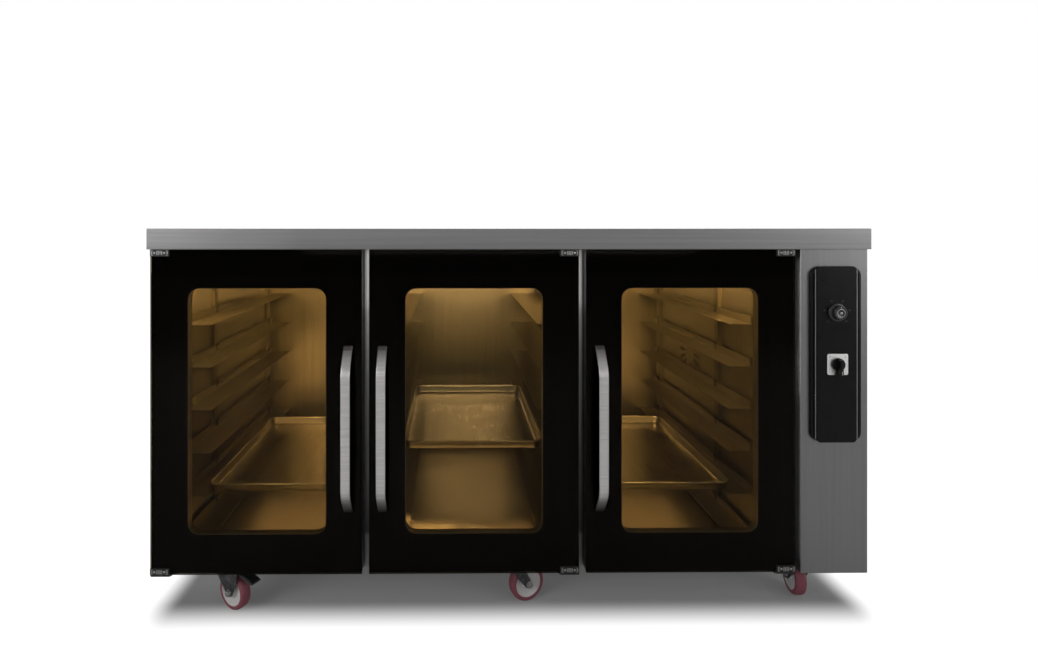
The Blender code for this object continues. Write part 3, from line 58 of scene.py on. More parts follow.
# a node's output; each of its inputs takes a value, a hex colour or the output that feeds it
def addNode(tree, kind, inputs=None, output=0, **settings):
    node = tree.nodes.new("ShaderNode" + kind)
    for key, value in settings.items():
        setattr(node, key, value)
    for key, value in (inputs or {}).items():
        if isinstance(value, bpy.types.NodeSocket):
            tree.links.new(value, node.inputs[key])
        else:
            node.inputs[key].default_value = hexColour(value) if isinstance(value, str) else value
    return node.outputs[output]


def newMaterial(name, colour, rough, metal=0.0, **sockets):
    made = bpy.data.materials.new(name)
    made.use_nodes = True
    made.diffuse_color = hexColour(colour)
    shader = made.node_tree.nodes["Principled BSDF"]
    shader.inputs["Base Color"].default_value = hexColour(colour)
    shader.inputs["Roughness"].default_value = rough
    shader.inputs["Metallic"].default_value = metal
    for key, value in sockets.items():
        shader.inputs[key.replace("_", " ")].default_value = value
    return made, made.node_tree, shader


# object coordinates counted in cells of the given size in mm along x, y and z
def inCells(tree, cell):
    scale = tuple(1 / (c * mm) for c in cell)
    return addNode(tree, "Mapping", {"Vector": addNode(tree, "TexCoord", output="Object"), "Scale": scale})


# what a finish looks like: its colour, its roughness, and a relief that is so many mm high
def dress(tree, shader, tone, gloss, relief, height):
    normal = addNode(tree, "Bump", {"Height": relief, "Strength": 1.0, "Distance": height * mm})
    for key, source in (("Base Color", tone), ("Roughness", gloss), ("Normal", normal)):
        tree.links.new(source, shader.inputs[key])


# sheet metal with a drawn grain: long streaks along one axis, fine scratches over them, smears of handling
def brushedMetal(name, light, dark, rough, along, grain=0.35, streak=7.0, length=160.0, bump=0.02):
    made, tree, shader = newMaterial(name, light, rough, 1.0)
    fineCell = [length / 3 if axis in along else grain for axis in "xyz"]
    wideCell = [length * 4 if axis in along else streak for axis in "xyz"]
    fine = addNode(tree, "TexNoise", {"Vector": inCells(tree, fineCell), "Scale": 1.0, "Detail": 3.0,
                                      "Roughness": 0.6}, "Fac")
    wide = addNode(tree, "TexNoise", {"Vector": inCells(tree, wideCell), "Scale": 1.0, "Detail": 2.0,
                                      "Roughness": 0.5}, "Fac")
    smear = addNode(tree, "TexNoise", {"Vector": inCells(tree, (210, 210, 160)), "Scale": 1.0,
                                       "Detail": 3.0, "Roughness": 0.55}, "Fac")
    streaked = addNode(tree, "MapRange", {"Value": wide, "From Min": 0.3, "From Max": 0.7})
    # 6 and 7 are the two colours of a colour mix, and its output 2 is the mixed one
    tone = addNode(tree, "Mix", {"Factor": streaked, 6: light, 7: dark}, 2, data_type="RGBA")
    scratched = addNode(tree, "MapRange", {"Value": fine, "From Min": 0.3, "From Max": 0.7, "To Max": 0.55})
    tone = addNode(tree, "Mix", {"Factor": scratched, 6: tone, 7: dark}, 2, data_type="RGBA")
    dullingAndPaintedShade = addNode(tree, "MapRange", {"Value": fine, "From Min": 0.3, "From Max": 0.7,
                                        "To Min": rough - 0.05, "To Max": rough + 0.07})
    smeared = addNode(tree, "MapRange", {"Value": smear, "From Min": 0.3, "From Max": 0.7, "To Min": -0.04,
                                         "To Max": 0.06})
    dress(tree, shader, tone, addNode(tree, "Math", {0: dullingAndPaintedShade, 1: smeared}, operation="ADD"), fine, bump)
    return made


# plated, cast or painted metal without a direction: soft blotches and a fine tooth
def plainMetal(name, light, dark, rough, blotch, tooth=0.8, bump=0.03):
    made, tree, shader = newMaterial(name, light, rough, 1.0)
    wide = addNode(tree, "TexNoise", {"Vector": inCells(tree, (blotch, blotch, blotch)), "Scale": 1.0,
                                      "Detail": 4.0, "Roughness": 0.6}, "Fac")
    fine = addNode(tree, "TexNoise", {"Vector": inCells(tree, (tooth, tooth, tooth)), "Scale": 1.0,
                                      "Detail": 2.0, "Roughness": 0.5}, "Fac")
    clouded = addNode(tree, "MapRange", {"Value": wide, "From Min": 0.3, "From Max": 0.7})
    tone = addNode(tree, "Mix", {"Factor": clouded, 6: light, 7: dark}, 2, data_type="RGBA")
    gloss = addNode(tree, "MapRange", {"Value": wide, "From Min": 0.3, "From Max": 0.7,
                                       "To Min": rough - 0.07, "To Max": rough + 0.1})
    dress(tree, shader, tone, gloss, fine, bump)
    return made


# moulded plastic or rubber: spark-eroded tooth of the mould, and a little dust and rubbing
def moulded(name, colour, worn, rough, ior, tooth, bump=0.02, wear=0.35, blotch=26.0, **sockets):
    made, tree, shader = newMaterial(name, colour, rough, IOR=ior, **sockets)
    fine = addNode(tree, "TexNoise", {"Vector": inCells(tree, (tooth, tooth, tooth)), "Scale": 1.0,
                                      "Detail": 3.0, "Roughness": 0.6}, "Fac")
    wide = addNode(tree, "TexNoise", {"Vector": inCells(tree, (blotch, blotch, blotch)), "Scale": 1.0,
                                      "Detail": 4.0, "Roughness": 0.62}, "Fac")
    rubbedAndPaintedLight = addNode(tree, "MapRange", {"Value": wide, "From Min": 0.48, "From Max": 0.78, "To Max": wear})
    tone = addNode(tree, "Mix", {"Factor": rubbedAndPaintedLight, 6: colour, 7: worn}, 2, data_type="RGBA")
    gloss = addNode(tree, "MapRange", {"Value": wide, "From Min": 0.3, "From Max": 0.7,
                                       "To Min": rough - 0.05, "To Max": rough + 0.1})
    dress(tree, shader, tone, gloss, fine, bump)
    return made


# the finishes of this cabinet

# austenitic stainless, rolled and brushed lengthwise: dull grey with long fine streaks
topSteel = brushedMetal("stainlessBrushedLengthwise", "929192", "858485", 0.43, "x")
# the same sheet brushed up and down on the panels
sheetSteel = brushedMetal("stainlessBrushedUpright", "878687", "807f80", 0.36, "z", bump=0.009)
# the dividers' cover strips: their colour is painted light, dark low down and bright at the top, standing in
# for the light that falls between the doors
stripSteel = brushedMetal("stainlessStripPaintedLight", "a0a0a0", "8e8d8e", 0.36, "z")
paintedLightTones = ((0.215, "838283"), (0.225, "4c4b4c"), (0.443, "6a696a"), (0.577, "888788"), (0.712, "adacad"),
         (0.847, "ebeaeb"))  # height in metres, colour there
tree = stripSteel.node_tree
height = addNode(tree, "SeparateXYZ", {"Vector": addNode(tree, "TexCoord", output="Object")}, "Z")
# painted highlight and painted shade: the strips' colour is set by height from this ramp
rubbedAndPaintedLight = addNode(tree, "ValToRGB", {"Fac": height})
ramp = rubbedAndPaintedLight.node.color_ramp.elements
while len(ramp) < len(paintedLightTones):
    ramp.new(0.5)
for element, (place, tone) in zip(ramp, paintedLightTones):
    element.position = place
    element.color = hexColour(tone)
tree.links.new(rubbedAndPaintedLight, tree.nodes["Principled BSDF"].inputs["Base Color"])
# bright annealed stainless inside the bays: smoother, so it carries the lamp's glow
baySteel = brushedMetal("stainlessBrightAnnealed", "b5b2aa", "a7a39a", 0.34, "z", grain=0.5, streak=11.0,
                        bump=0.01)
# satin ground flat bar: paler, with a grain across the bar that breaks up highlights
barSteel = brushedMetal("stainlessSatinGroundPaintedShadeEnds", "e4e1de", "cac7c5", 0.36, "x", grain=0.4, streak=5.0,
                        length=30.0)
tree = barSteel.node_tree  # painted shade: both ends of the bar are darkened towards dark grey, the middle keeps its bright colour
shader = tree.nodes["Principled BSDF"]
height = addNode(tree, "SeparateXYZ", {"Vector": addNode(tree, "TexCoord", output="Object")}, "Z")
lower = addNode(tree, "MapRange", {"Value": height, "From Min": 0.297, "From Max": 0.352, "To Min": 1.0,
                                   "To Max": 0.0})
upper = addNode(tree, "MapRange", {"Value": height, "From Min": 0.672, "From Max": 0.733})
ends = addNode(tree, "Math", {0: lower, 1: upper}, operation="MAXIMUM")
bright = shader.inputs["Base Color"].links[0].from_socket
# painted shade: the colour at both ends is mixed towards dark grey
dullingAndPaintedShade = addNode(tree, "Mix", {"Factor": ends, 6: bright, 7: "393333"}, 2, data_type="RGBA")
tree.links.new(dullingAndPaintedShade, shader.inputs["Base Color"])
# the racks' rolled steel: mill finish, slightly mottled
rackSteel = brushedMetal("stainlessRolledMill", "a5a196", "8b877c", 0.38, "y", grain=0.6, streak=4.0)
# drawn aluminium of the trays: soft grey, faint draw lines
trayAluminium = brushedMetal("aluminiumDrawn", "a09e98", "908d86", 0.30, "y", grain=0.7, streak=9.0)
# anodised aluminium of the switch plate: pale silver, even
plateAluminium = brushedMetal("aluminiumAnodised", "f4f4f2", "e2e2e0", 0.38, "x", grain=0.25, streak=2.0,
                              length=20.0)
# the two trim lines of the panel are the same metal without its shine
trimAluminium = brushedMetal("aluminiumAnodisedDull", "8d8b8e", "747276", 0.46, "z", grain=0.3, streak=3.0,
                             length=40.0)
# bright zinc over pressed steel: cool grey with darker cloudy patches
zincPlate = plainMetal("steelZincPlated", "a3a4a6", "6f7072", 0.40, blotch=9.0)
# the casters' forks are chromated darker, with road dust in the corners
forkSteel = plainMetal("steelZincDulled", "6c6b6d", "39383a", 0.46, blotch=14.0, tooth=1.2)
# blackened pivot fittings of die-cast zinc: dark, a little shine on the flats
pivotZinc = plainMetal("zincDieCastBlackened", "4a4a4c", "2b2b2d", 0.42, blotch=7.0, tooth=0.5, bump=0.05)
# electroplated screws, brighter than what they hold
screwSteel = plainMetal("steelNickelPlated", "c2c1bd", "8f8e8a", 0.28, blotch=4.0, tooth=0.3)
# machined brass of the water inlet: warm, with darker turning marks
inletBrass = plainMetal("brassTurned", "b98f4a", "8e6a30", 0.32, blotch=6.0, tooth=0.4)
# black powder coat on the door frames: fine orange peel
frameCoat = moulded("steelPowderCoated", "0c0a0a", "1c1a1a", 0.42, 1.50, tooth=1.4, bump=0.05, wear=0.25)
# the motor's grey stove enamel: half gloss, faintly wavy
motorPaint = moulded("steelStoveEnamelled", "5b6064", "44484b", 0.45, 1.50, tooth=2.2, bump=0.05)
# glossy black ABS of the control panel: mirror-like over a very fine tooth
panelPlastic = moulded("absMouldedBlack", "050508", "0b0b10", 0.30, 1.53, tooth=0.5, bump=0.008, wear=0.2,
                       Specular_IOR_Level=0.16)
# textured phenolic of the knob: charcoal with a soft sheen
knobPlastic = moulded("phenolicMouldedBlack", "141416", "2c2c30", 0.34, 1.56, tooth=0.7, bump=0.02)
# the switch handle is a deeper black than the knob
handlePlastic = moulded("polyamideMouldedDeepBlack", "070708", "101012", 0.42, 1.50, tooth=0.6, bump=0.02,
                        Specular_IOR_Level=0.2)
# nylon of the cable gland and the pedal pads: matt black
glandNylon = moulded("polyamideMouldedBlack", "111113", "27272a", 0.50, 1.53, tooth=0.6)
# grey polyamide of the switch bodies and wheel hubs: pale, softly matt
hubPlastic = moulded("polyamideMouldedGrey", "b9b7b6", "8e8b89", 0.48, 1.52, tooth=0.8, bump=0.02)
# cast red polyurethane of the treads: slightly waxy, scuffed grey where it rolls
treadRubber = moulded("polyurethaneCastRed", "7c414c", "52353c", 0.50, 1.42, tooth=0.9, bump=0.04, wear=0.6,
                      blotch=11.0, Subsurface_Weight=0.05)
# extruded silicone of the door seals: matt, dusty black-grey
sealRubber = moulded("siliconeExtrudedBlack", "171718", "2e2e30", 0.70, 1.41, tooth=0.8, bump=0.03)
# screen printed white of the pointer and the switch mark
markInk = moulded("inkScreenPrinted", "b4b4b2", "8a8a88", 0.60, 1.50, tooth=0.4, bump=0.01)
# the dial's own print is grey and worn, barely readable from a distance
dialInk = moulded("inkScreenPrintedGrey", "4c4b4f", "353438", 0.62, 1.45, tooth=0.4, bump=0.01)
# black enamel fused into the back of the door glass: solid black, and all its gloss is the glass's own
glassEnamel = moulded("enamelFiredBlack", "060202", "0a0506", 0.60, 1.52, tooth=1.0, bump=0.004, wear=0.2,
                      Specular_IOR_Level=0.0)

# bronze float glass of the doors: brown see-through tint with a very slight roller wave
paneGlass, tree, shader = newMaterial("glassFloatBronze", "bcae94", 0.0, IOR=1.14, Transmission_Weight=1.0,
                                      Specular_IOR_Level=0.2)
wave = addNode(tree, "TexNoise", {"Vector": inCells(tree, (140, 140, 90)), "Scale": 1.0, "Detail": 1.0,
                                  "Roughness": 0.5}, "Fac")
wavy = addNode(tree, "Bump", {"Height": wave, "Strength": 0.2, "Distance": 0.05 * mm})
tree.links.new(wavy, shader.inputs["Normal"])
dust = addNode(tree, "TexNoise", {"Vector": inCells(tree, (60, 60, 80)), "Scale": 1.0, "Detail": 4.0,
                                  "Roughness": 0.65}, "Fac")
gloss = addNode(tree, "MapRange", {"Value": dust, "From Min": 0.5, "From Max": 0.8, "To Max": 0.03})
tree.links.new(gloss, shader.inputs["Roughness"])
# clear float glass behind it: faint green cast
innerGlass, tree, shader = newMaterial("glassFloatClear", "e6efe4", 0.01, IOR=1.14, Transmission_Weight=1.0,
                                       Specular_IOR_Level=0.25)
film = addNode(tree, "TexNoise", {"Vector": inCells(tree, (90, 90, 120)), "Scale": 1.0, "Detail": 4.0,
                                  "Roughness": 0.6}, "Fac")
gloss = addNode(tree, "MapRange", {"Value": film, "From Min": 0.45, "From Max": 0.8, "To Max": 0.05})
tree.links.new(gloss, shader.inputs["Roughness"])
# opal polycarbonate over warm diodes: it glows, a little brighter over each diode
lensOpal, tree, shader = newMaterial("polycarbonateOpal", "f4e6c8", 0.45, IOR=1.58)
diodePitch = 33 * mm
scale = (3.1 / diodePitch, 1, 1)
place = addNode(tree, "Mapping", {"Vector": addNode(tree, "TexCoord", output="Object"), "Scale": scale})
diodes = addNode(tree, "TexWave", {"Vector": place, "Scale": 1.0, "Distortion": 0.0}, "Fac",
                 wave_type="BANDS", bands_direction="X")
glow = addNode(tree, "MapRange", {"Value": diodes, "To Min": 1.6, "To Max": 2.4})
shader.inputs["Emission Color"].default_value = hexColour("ffca7a")
tree.links.new(glow, shader.inputs["Emission Strength"])

print("finishes made")


# mesh helpers: every mesh is built in place in metres, so each object stays at the origin

noTurn = Matrix.Identity(4)
# outlines in x and z, drawn out towards the viewer at -y
upright = Matrix.Rotation(math.pi / 2, 4, "X")
# outlines in y and z, drawn out along x, and outlines in x and z, drawn out along y
alongX = Matrix(((0, 0, 1, 0), (1, 0, 0, 0), (0, 1, 0, 0), (0, 0, 0, 1)))
alongY = Matrix(((1, 0, 0, 0), (0, 0, 1, 0), (0, 1, 0, 0), (0, 0, 0, 1)))


# object from a shape, on its body, in its finish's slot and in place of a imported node
def showPiece(name, shape, finish, body="cabinet", replaced=None, smooth=30, bevel=0.0, segments=2):
    mesh = bpy.data.meshes.new(name)
    bmesh.ops.recalc_face_normals(shape, faces=shape.faces)
    shape.to_mesh(mesh)
    shape.free()
    piece = bpy.data.objects.new(name, mesh)
    scene.collection.objects.link(piece)
    mesh.materials.append(finish)
    mesh.shade_smooth()
    if bevel:
        edges = piece.modifiers.new("softEdges", "BEVEL")
        edges.width = bevel
        edges.segments = segments
        edges.limit_method = "ANGLE"
        edges.angle_limit = math.radians(smooth)
        edges.harden_normals = True
    mesh.set_sharp_from_angle(angle=math.radians(smooth))
    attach(piece, body)
    if replaced:
        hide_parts(replaced)


def addBox(shape, low, high, turn=noTurn):
    low, high = Vector(low), Vector(high)
    made = bmesh.ops.create_cube(shape, size=1)["verts"]
    bmesh.ops.scale(shape, vec=high - low, verts=made)
    bmesh.ops.translate(shape, vec=(low + high) / 2, verts=made)
    bmesh.ops.transform(shape, matrix=turn, verts=made)


# profile of (radius, height) points turned round local z, then placed by a matrix
def addTurned(shape, profile, place, steps=48, closed=False):
    turns = [math.tau * i / steps for i in range(steps)]
    rings = []
    for radius, height in profile:
        line = [(radius * math.cos(a), radius * math.sin(a)) for a in turns] if radius else [(0, 0)]
        rings.append([shape.verts.new(place @ Vector((x, y, height))) for x, y in line])
    for first, second in zip(rings, rings[1:] + (rings[:1] if closed else [])):
        for i in range(steps):
            j = (i + 1) % steps
            corners = [first[i % len(first)], first[j % len(first)]]
            corners += [second[j % len(second)], second[i % len(second)]]
            unique = [v for n, v in enumerate(corners) if v not in corners[:n]]
            if len(unique) > 2:
                shape.faces.new(unique)


# loops of points joined in their order, with flat ends unless the last one meets the first;
# the order of faces and corners decides how a flat end is cut up and how a soft edge is shaded
def addSkin(shape, loops, closed=False, flipped=False):
    rings = [[shape.verts.new(point) for point in loop] for loop in loops]
    for first, second in zip(rings, rings[1:] + (rings[:1] if closed else [])):
        for i in range(len(first)):
            j = (i + 1) % len(first)
            shape.faces.new((first[i], first[j], second[j], second[i]))
    if not closed:
        shape.faces.new(rings[0] if flipped else rings[0][::-1])
        shape.faces.new(rings[-1][::-1] if flipped else rings[-1])


def lifted(outline, level, place):
    return [place @ Vector((x, y, level)) for x, y in outline]


def addPrism(shape, outline, low, high, place):
    bottom, top = ([shape.verts.new(p) for p in lifted(outline, level, place)] for level in (low, high))
    shape.faces.new(bottom[::-1])
    shape.faces.new(top)
    for i in range(len(outline)):
        j = (i + 1) % len(outline)
        shape.faces.new((bottom[i], bottom[j], top[j], top[i]))


# flat ring between two outlines that have the same number of points
def addFrame(shape, outer, inner, low, high, place):
    addSkin(shape, [lifted(line, level, place) for line, level in (
        (outer, low), (outer, high), (inner, high), (inner, low))], closed=True)


def arcPoints(centre, radius, start, end, steps):
    turns = [math.radians(start + (end - start) * i / steps) for i in range(steps + 1)]
    return [(centre[0] + radius * math.cos(a), centre[1] + radius * math.sin(a)) for a in turns]


# regular polygon, or a ring of points
def polygon(radius, count, x=0, y=0):
    return arcPoints((x, y), radius, 0, 360 - 360 / count, count - 1)


def roundedRect(width, height, radius, centre=(0, 0), steps=8):
    points = []
    for sx, sy, start in ((1, -1, -90), (1, 1, 0), (-1, 1, 90), (-1, -1, 180)):
        corner = (centre[0] + sx * (width / 2 - radius), centre[1] + sy * (height / 2 - radius))
        points += arcPoints(corner, radius, start, start + 90, steps)
    return points


# rounded bend from one point to another round a corner between them
def bend(start, corner, end, steps):
    shares = [k / steps for k in range(steps + 1)]
    return [(1 - t) ** 2 * start + 2 * t * (1 - t) * corner + t * t * end for t in shares]


# corners of (x, y, radius) joined by straight stretches and rounded ends
def softOutline(corners, steps=5):
    points = []
    for i, (x, y, radius) in enumerate(corners):
        here = Vector((x, y))
        back = Vector(corners[i - 1][:2]) - here
        on = Vector(corners[(i + 1) % len(corners)][:2]) - here
        reach = min(radius / math.tan(back.angle(on) / 2), 0.49 * back.length, 0.49 * on.length)
        points += bend(here + back.normalized() * reach, here, here + on.normalized() * reach, steps)
    return points


# profile of (inset, level) carried round a rounded rectangle
def addRim(shape, size, radius, centre, profile, place=upright, steps=8, closed=True, least=0.0004,
           flipped=False):
    loops = []
    for inset, level in profile:
        wide, high = size[0] - 2 * inset, size[1] - 2 * inset
        line = roundedRect(wide, high, max(radius - inset, least), centre, steps)
        loops.append(lifted(line, level, place))
    addSkin(shape, loops, closed, flipped)


# round section swept along points, with closed ends
def addTube(shape, points, radius, steps):
    points = [Vector(p) for p in points]
    loops = []
    side = None
    for i, point in enumerate(points):
        ahead = (points[min(i + 1, len(points) - 1)] - points[max(i - 1, 0)]).normalized()
        if side is None:
            side = ahead.orthogonal().normalized()
        side = (side - ahead * side.dot(ahead)).normalized()
        other = ahead.cross(side)
        turns = [math.tau * k / steps for k in range(steps)]
        loops.append([point + radius * (side * math.cos(a) + other * math.sin(a)) for a in turns])
    addSkin(shape, loops)


# local z of the matrix points along the given direction
def facing(direction, place, spin=0.0):
    turn = Vector(direction).to_track_quat("Z", "Y").to_matrix().to_4x4()
    return Matrix.Translation(place) @ turn @ Matrix.Rotation(math.radians(spin), 4, "Z")


# domed screw head with a cross recess, its face along local z
def addScrew(shape, place, radius, high, spin):
    addTurned(shape, [(radius, -0.1 * high), (radius, 0.35 * high), (0.86 * radius, 0.75 * high),
                      (0.55 * radius, high), (0.34 * radius, high), (0.22 * radius, 0.35 * high),
                      (0, 0.3 * high)], place, 20)
    for quarter in range(4):
        arm = place @ Matrix.Rotation(math.radians(spin + 90 * quarter), 4, "Z")
        addBox(shape, (0.20 * radius, -0.07 * radius, 0.9 * high),
               (0.62 * radius, 0.07 * radius, 1.04 * high), arm)


print("helpers ready")


# camera: at the height of the worktop, a little left of the middle, square to the doors

view = {"place": (-0.150, -2.000, 1.040), "yaw": -0.51, "lens": 20.6, "shiftX": 0.0579, "shiftY": -0.0949}

cameraData = bpy.data.cameras.new("photoCamera")
cameraData.lens = view["lens"]
cameraData.sensor_width = 36
cameraData.shift_x = view["shiftX"]
cameraData.shift_y = view["shiftY"]
cameraData.clip_end = 60
camera = bpy.data.objects.new("photoCamera", cameraData)
camera.location = view["place"]
camera.rotation_euler = (math.pi / 2, 0, math.radians(view["yaw"]))
scene.collection.objects.link(camera)
scene.camera = camera
scene.view_settings.view_transform = "Standard"


# studio: white floor that keeps the shadow, white surroundings behind, dimmer ones in front

studio = {
    "floorSize": 24.0, "floorColour": "b0b0b0", "shadowLift": 0.05,
    "behind": 0.7, "front": 0.15, "above": 0.55,
    # metres from the middle: shift, edges of the white, start and end of the painted shadow that darkens the
    # paint near the footprint, and what that painted shadow leaves
    "shadow": {"X": (-0.008, 0.912, 1.005, 0.74, 1.00, 0.36), "Y": (0.0, 0.337, 0.475, 0.25, 0.42, 0.42)},
}
softboxes = {  # place, aim, width, height, power
    "keySoftbox": ((-3.4, -2.8, 1.9), (0, 0, 0.6), 2.2, 2.2, 76),
    "fillSoftbox": ((3.6, -2.6, 1.7), (0, 0, 0.6), 2.4, 2.4, 45),
    "topSoftbox": ((0, 0.62, 3.2), (0, 0.45, 0), 4.0, 2.2, 96),
    "backSoftbox": ((0.6, 3.2, 2.4), (0, 0, 0.5), 2.4, 2.4, 26),
    "frontSoftbox": ((0.20, -3.4, 1.38), (0.20, 0, 1.2), 3.0, 1.08, 8.0),
}

floorShape = bmesh.new()
half = studio["floorSize"] / 2
floorShape.faces.new([floorShape.verts.new(p) for p in (
    (-half, -half, 0), (half, -half, 0), (half, half, 0), (-half, half, 0))])
floorMesh = bpy.data.meshes.new("studioFloor")
floorShape.to_mesh(floorMesh)
floorShape.free()
floor = bpy.data.objects.new("studioFloor", floorMesh)
scene.collection.objects.link(floor)

# matt painted board, pale; for the eye it is lifted to white by emission outside a painted shadow footprint
# round the cabinet and darkened near that footprint's edges, so the shadow's shape and fade are painted over
# the lamps' real shadow
colour = studio["floorColour"]
floorPaint, tree, shader = newMaterial("boardPaintedMatt", colour, 0.9, Specular_IOR_Level=0.0)
cameraRay = addNode(tree, "LightPath", output="Is Camera Ray")
place = addNode(tree, "TexCoord", output="Object")
outside, paintedShadowShares = [], []
for axis, (shift, inner, outer, start, end, low) in studio["shadow"].items():
    along = addNode(tree, "SeparateXYZ", {"Vector": place}, axis)
    away = addNode(tree, "Math", {0: along, 1: shift}, operation="ADD")
    away = addNode(tree, "Math", {0: away}, operation="ABSOLUTE")
    # painted shadow: the floor's paint is darkened for the eye towards the footprint's edges
    paintedShadowShares.append(addNode(tree, "MapRange", {"Value": away, "From Min": start, "From Max": end,
                                           "To Min": 1.0, "To Max": low}))
    beyond = addNode(tree, "MapRange", {"Value": away, "From Min": inner, "From Max": outer})
    outside.append(addNode(tree, "Math", {0: beyond, 1: 2.0}, operation="POWER"))
# painted shadow: the white lift fades in only beyond the footprint, which draws the shadow's edges
far = addNode(tree, "Math", {0: outside[0], 1: outside[1]}, operation="ADD")
far = addNode(tree, "Math", {0: far}, operation="SQRT")
far = addNode(tree, "MapRange", {"Value": far}, interpolation_type="SMOOTHSTEP")
raised = addNode(tree, "MapRange", {"Value": far, "To Min": studio["shadowLift"]})
lift = addNode(tree, "Math", {0: raised, 1: cameraRay}, operation="MULTIPLY")
shader.inputs["Emission Color"].default_value = (1, 1, 1, 1)
tree.links.new(lift, shader.inputs["Emission Strength"])
shade = addNode(tree, "Math", {0: paintedShadowShares[0], 1: paintedShadowShares[1]}, operation="MULTIPLY")
shade = addNode(tree, "Mix", {"Factor": cameraRay, 2: 1.0, 3: shade}, data_type="FLOAT")
paint = addNode(tree, "Mix", {"Factor": shade, 6: "000000", 7: colour}, 2, data_type="RGBA")
tree.links.new(paint, shader.inputs["Base Color"])
floorMesh.materials.append(floorPaint)

world = bpy.data.worlds.new("studioWorld")
scene.world = world
world.use_nodes = True
tree = world.node_tree
background = tree.nodes["Background"]
direction = addNode(tree, "TexCoord", output="Generated")
depth, height = (addNode(tree, "SeparateXYZ", {"Vector": direction}, axis) for axis in "YZ")
depthShare = addNode(tree, "MapRange", {"Value": depth, "From Min": -0.15, "From Max": 0.40,
                                        "To Min": studio["front"], "To Max": studio["behind"]})
heightShare = addNode(tree, "MapRange", {"Value": height, "From Min": 0.1, "From Max": 0.9,
                                         "To Max": studio["above"]})
around = addNode(tree, "Math", {0: depthShare, 1: heightShare}, operation="MAXIMUM")
cameraRay = addNode(tree, "LightPath", output="Is Camera Ray")
strength = addNode(tree, "Mix", {"Factor": cameraRay, 2: around, 3: 1.0}, data_type="FLOAT")
tree.links.new(strength, background.inputs["Strength"])
background.inputs["Color"].default_value = (1, 1, 1, 1)


# a lamp on the cabinet isn't seen through the glass
def addLamp(name, place, aim, wide, high, power, colour="ffffff", body=None):
    data = bpy.data.lights.new(name, "AREA")
    data.shape = "RECTANGLE"
    data.size = wide
    data.size_y = high
    data.energy = power
    data.color = hexColour(colour)[:3]
    lamp = bpy.data.objects.new(name, data)
    lamp.location = place
    lamp.rotation_euler = (Vector(aim) - Vector(place)).to_track_quat("-Z", "Y").to_euler()
    lamp.visible_camera = False
    lamp.visible_transmission = body is None
    scene.collection.objects.link(lamp)
    if body:
        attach(lamp, body)


for name, values in softboxes.items():
    addLamp(name, *values)
print("camera, floor and lights placed")


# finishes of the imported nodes, also of those that a piece further down stands in for

doors = ["door_" + side for side in sides]
casters = [end + "_" + side for end in ("front", "back") for side in sides]
nodeFinishes = {
    topSteel: ["worktop"],
    sheetSteel: ["side_panel_left", "back_panel", "front_header", "floor_pan", "mullion_left",
                 "mullion_right", "column_cover"],
    baySteel: ["ceiling_panel", "inner_wall_right", "fan_guard", "steam_boiler"],
    rackSteel: ["rack_left", "rack_mullion_left", "rack_mullion_right", "rack_right"],
    trayAluminium: ["tray_" + side for side in sides],
    paneGlass: [name + "_glass" for name in doors],
    innerGlass: [name + "_inner_glass" for name in doors],
    frameCoat: [name + "_frame" for name in doors],
    sealRubber: [name + "_seal" for name in doors],
    barSteel: [name + "_handle" for name in doors],
    panelPlastic: ["control_panel"],
    knobPlastic: ["thermostat_knob"],
    handlePlastic: ["cam_handle"],
    plateAluminium: ["cam_switch_plate"],
    hubPlastic: ["thermostat_body", "cam_switch_body", "contactor_box"],
    motorPaint: ["fan_motor"],
    zincPlate: ["fan_impeller", "heating_element", "caster_front_left_brake", "caster_front_right_brake"],
    glandNylon: ["mains_gland"],
    lensOpal: ["light_bar"],
    forkSteel: ["caster_" + key + "_fork" for key in casters],
    treadRubber: ["caster_" + key + "_wheel" for key in casters],
}
for finish, names in nodeFinishes.items():
    for name in names:
        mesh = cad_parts[name].data
        if not mesh.materials:
            mesh.materials.append(finish)
        for i in range(len(mesh.materials)):
            mesh.materials[i] = finish
print("packed nodes finished")


# doors: distances in depth are taken towards the viewer

door = {
    "width": 0.552, "height": 0.850, "bottom": 0.135, "window": (0.362, 0.646), "windowRadius": 0.030,
    "lefts": {"left": -0.942, "middle": -0.372, "right": 0.198},
    "hinges": {"left": 1, "middle": -1, "right": -1},
    "printBack": 0.43575, "printFront": 0.43595,
    "trimWidth": 0.0028, "trimFront": 0.4355, "trimBack": 0.4090,
    "beadWidth": 0.011, "beadBack": 0.4039, "beadScrew": 0.0028,
    "seal": (0.512, 0.810), "sealRadius": 0.016, "sealWidth": 0.014, "sealBase": 0.4037, "sealTip": 0.3984,
}


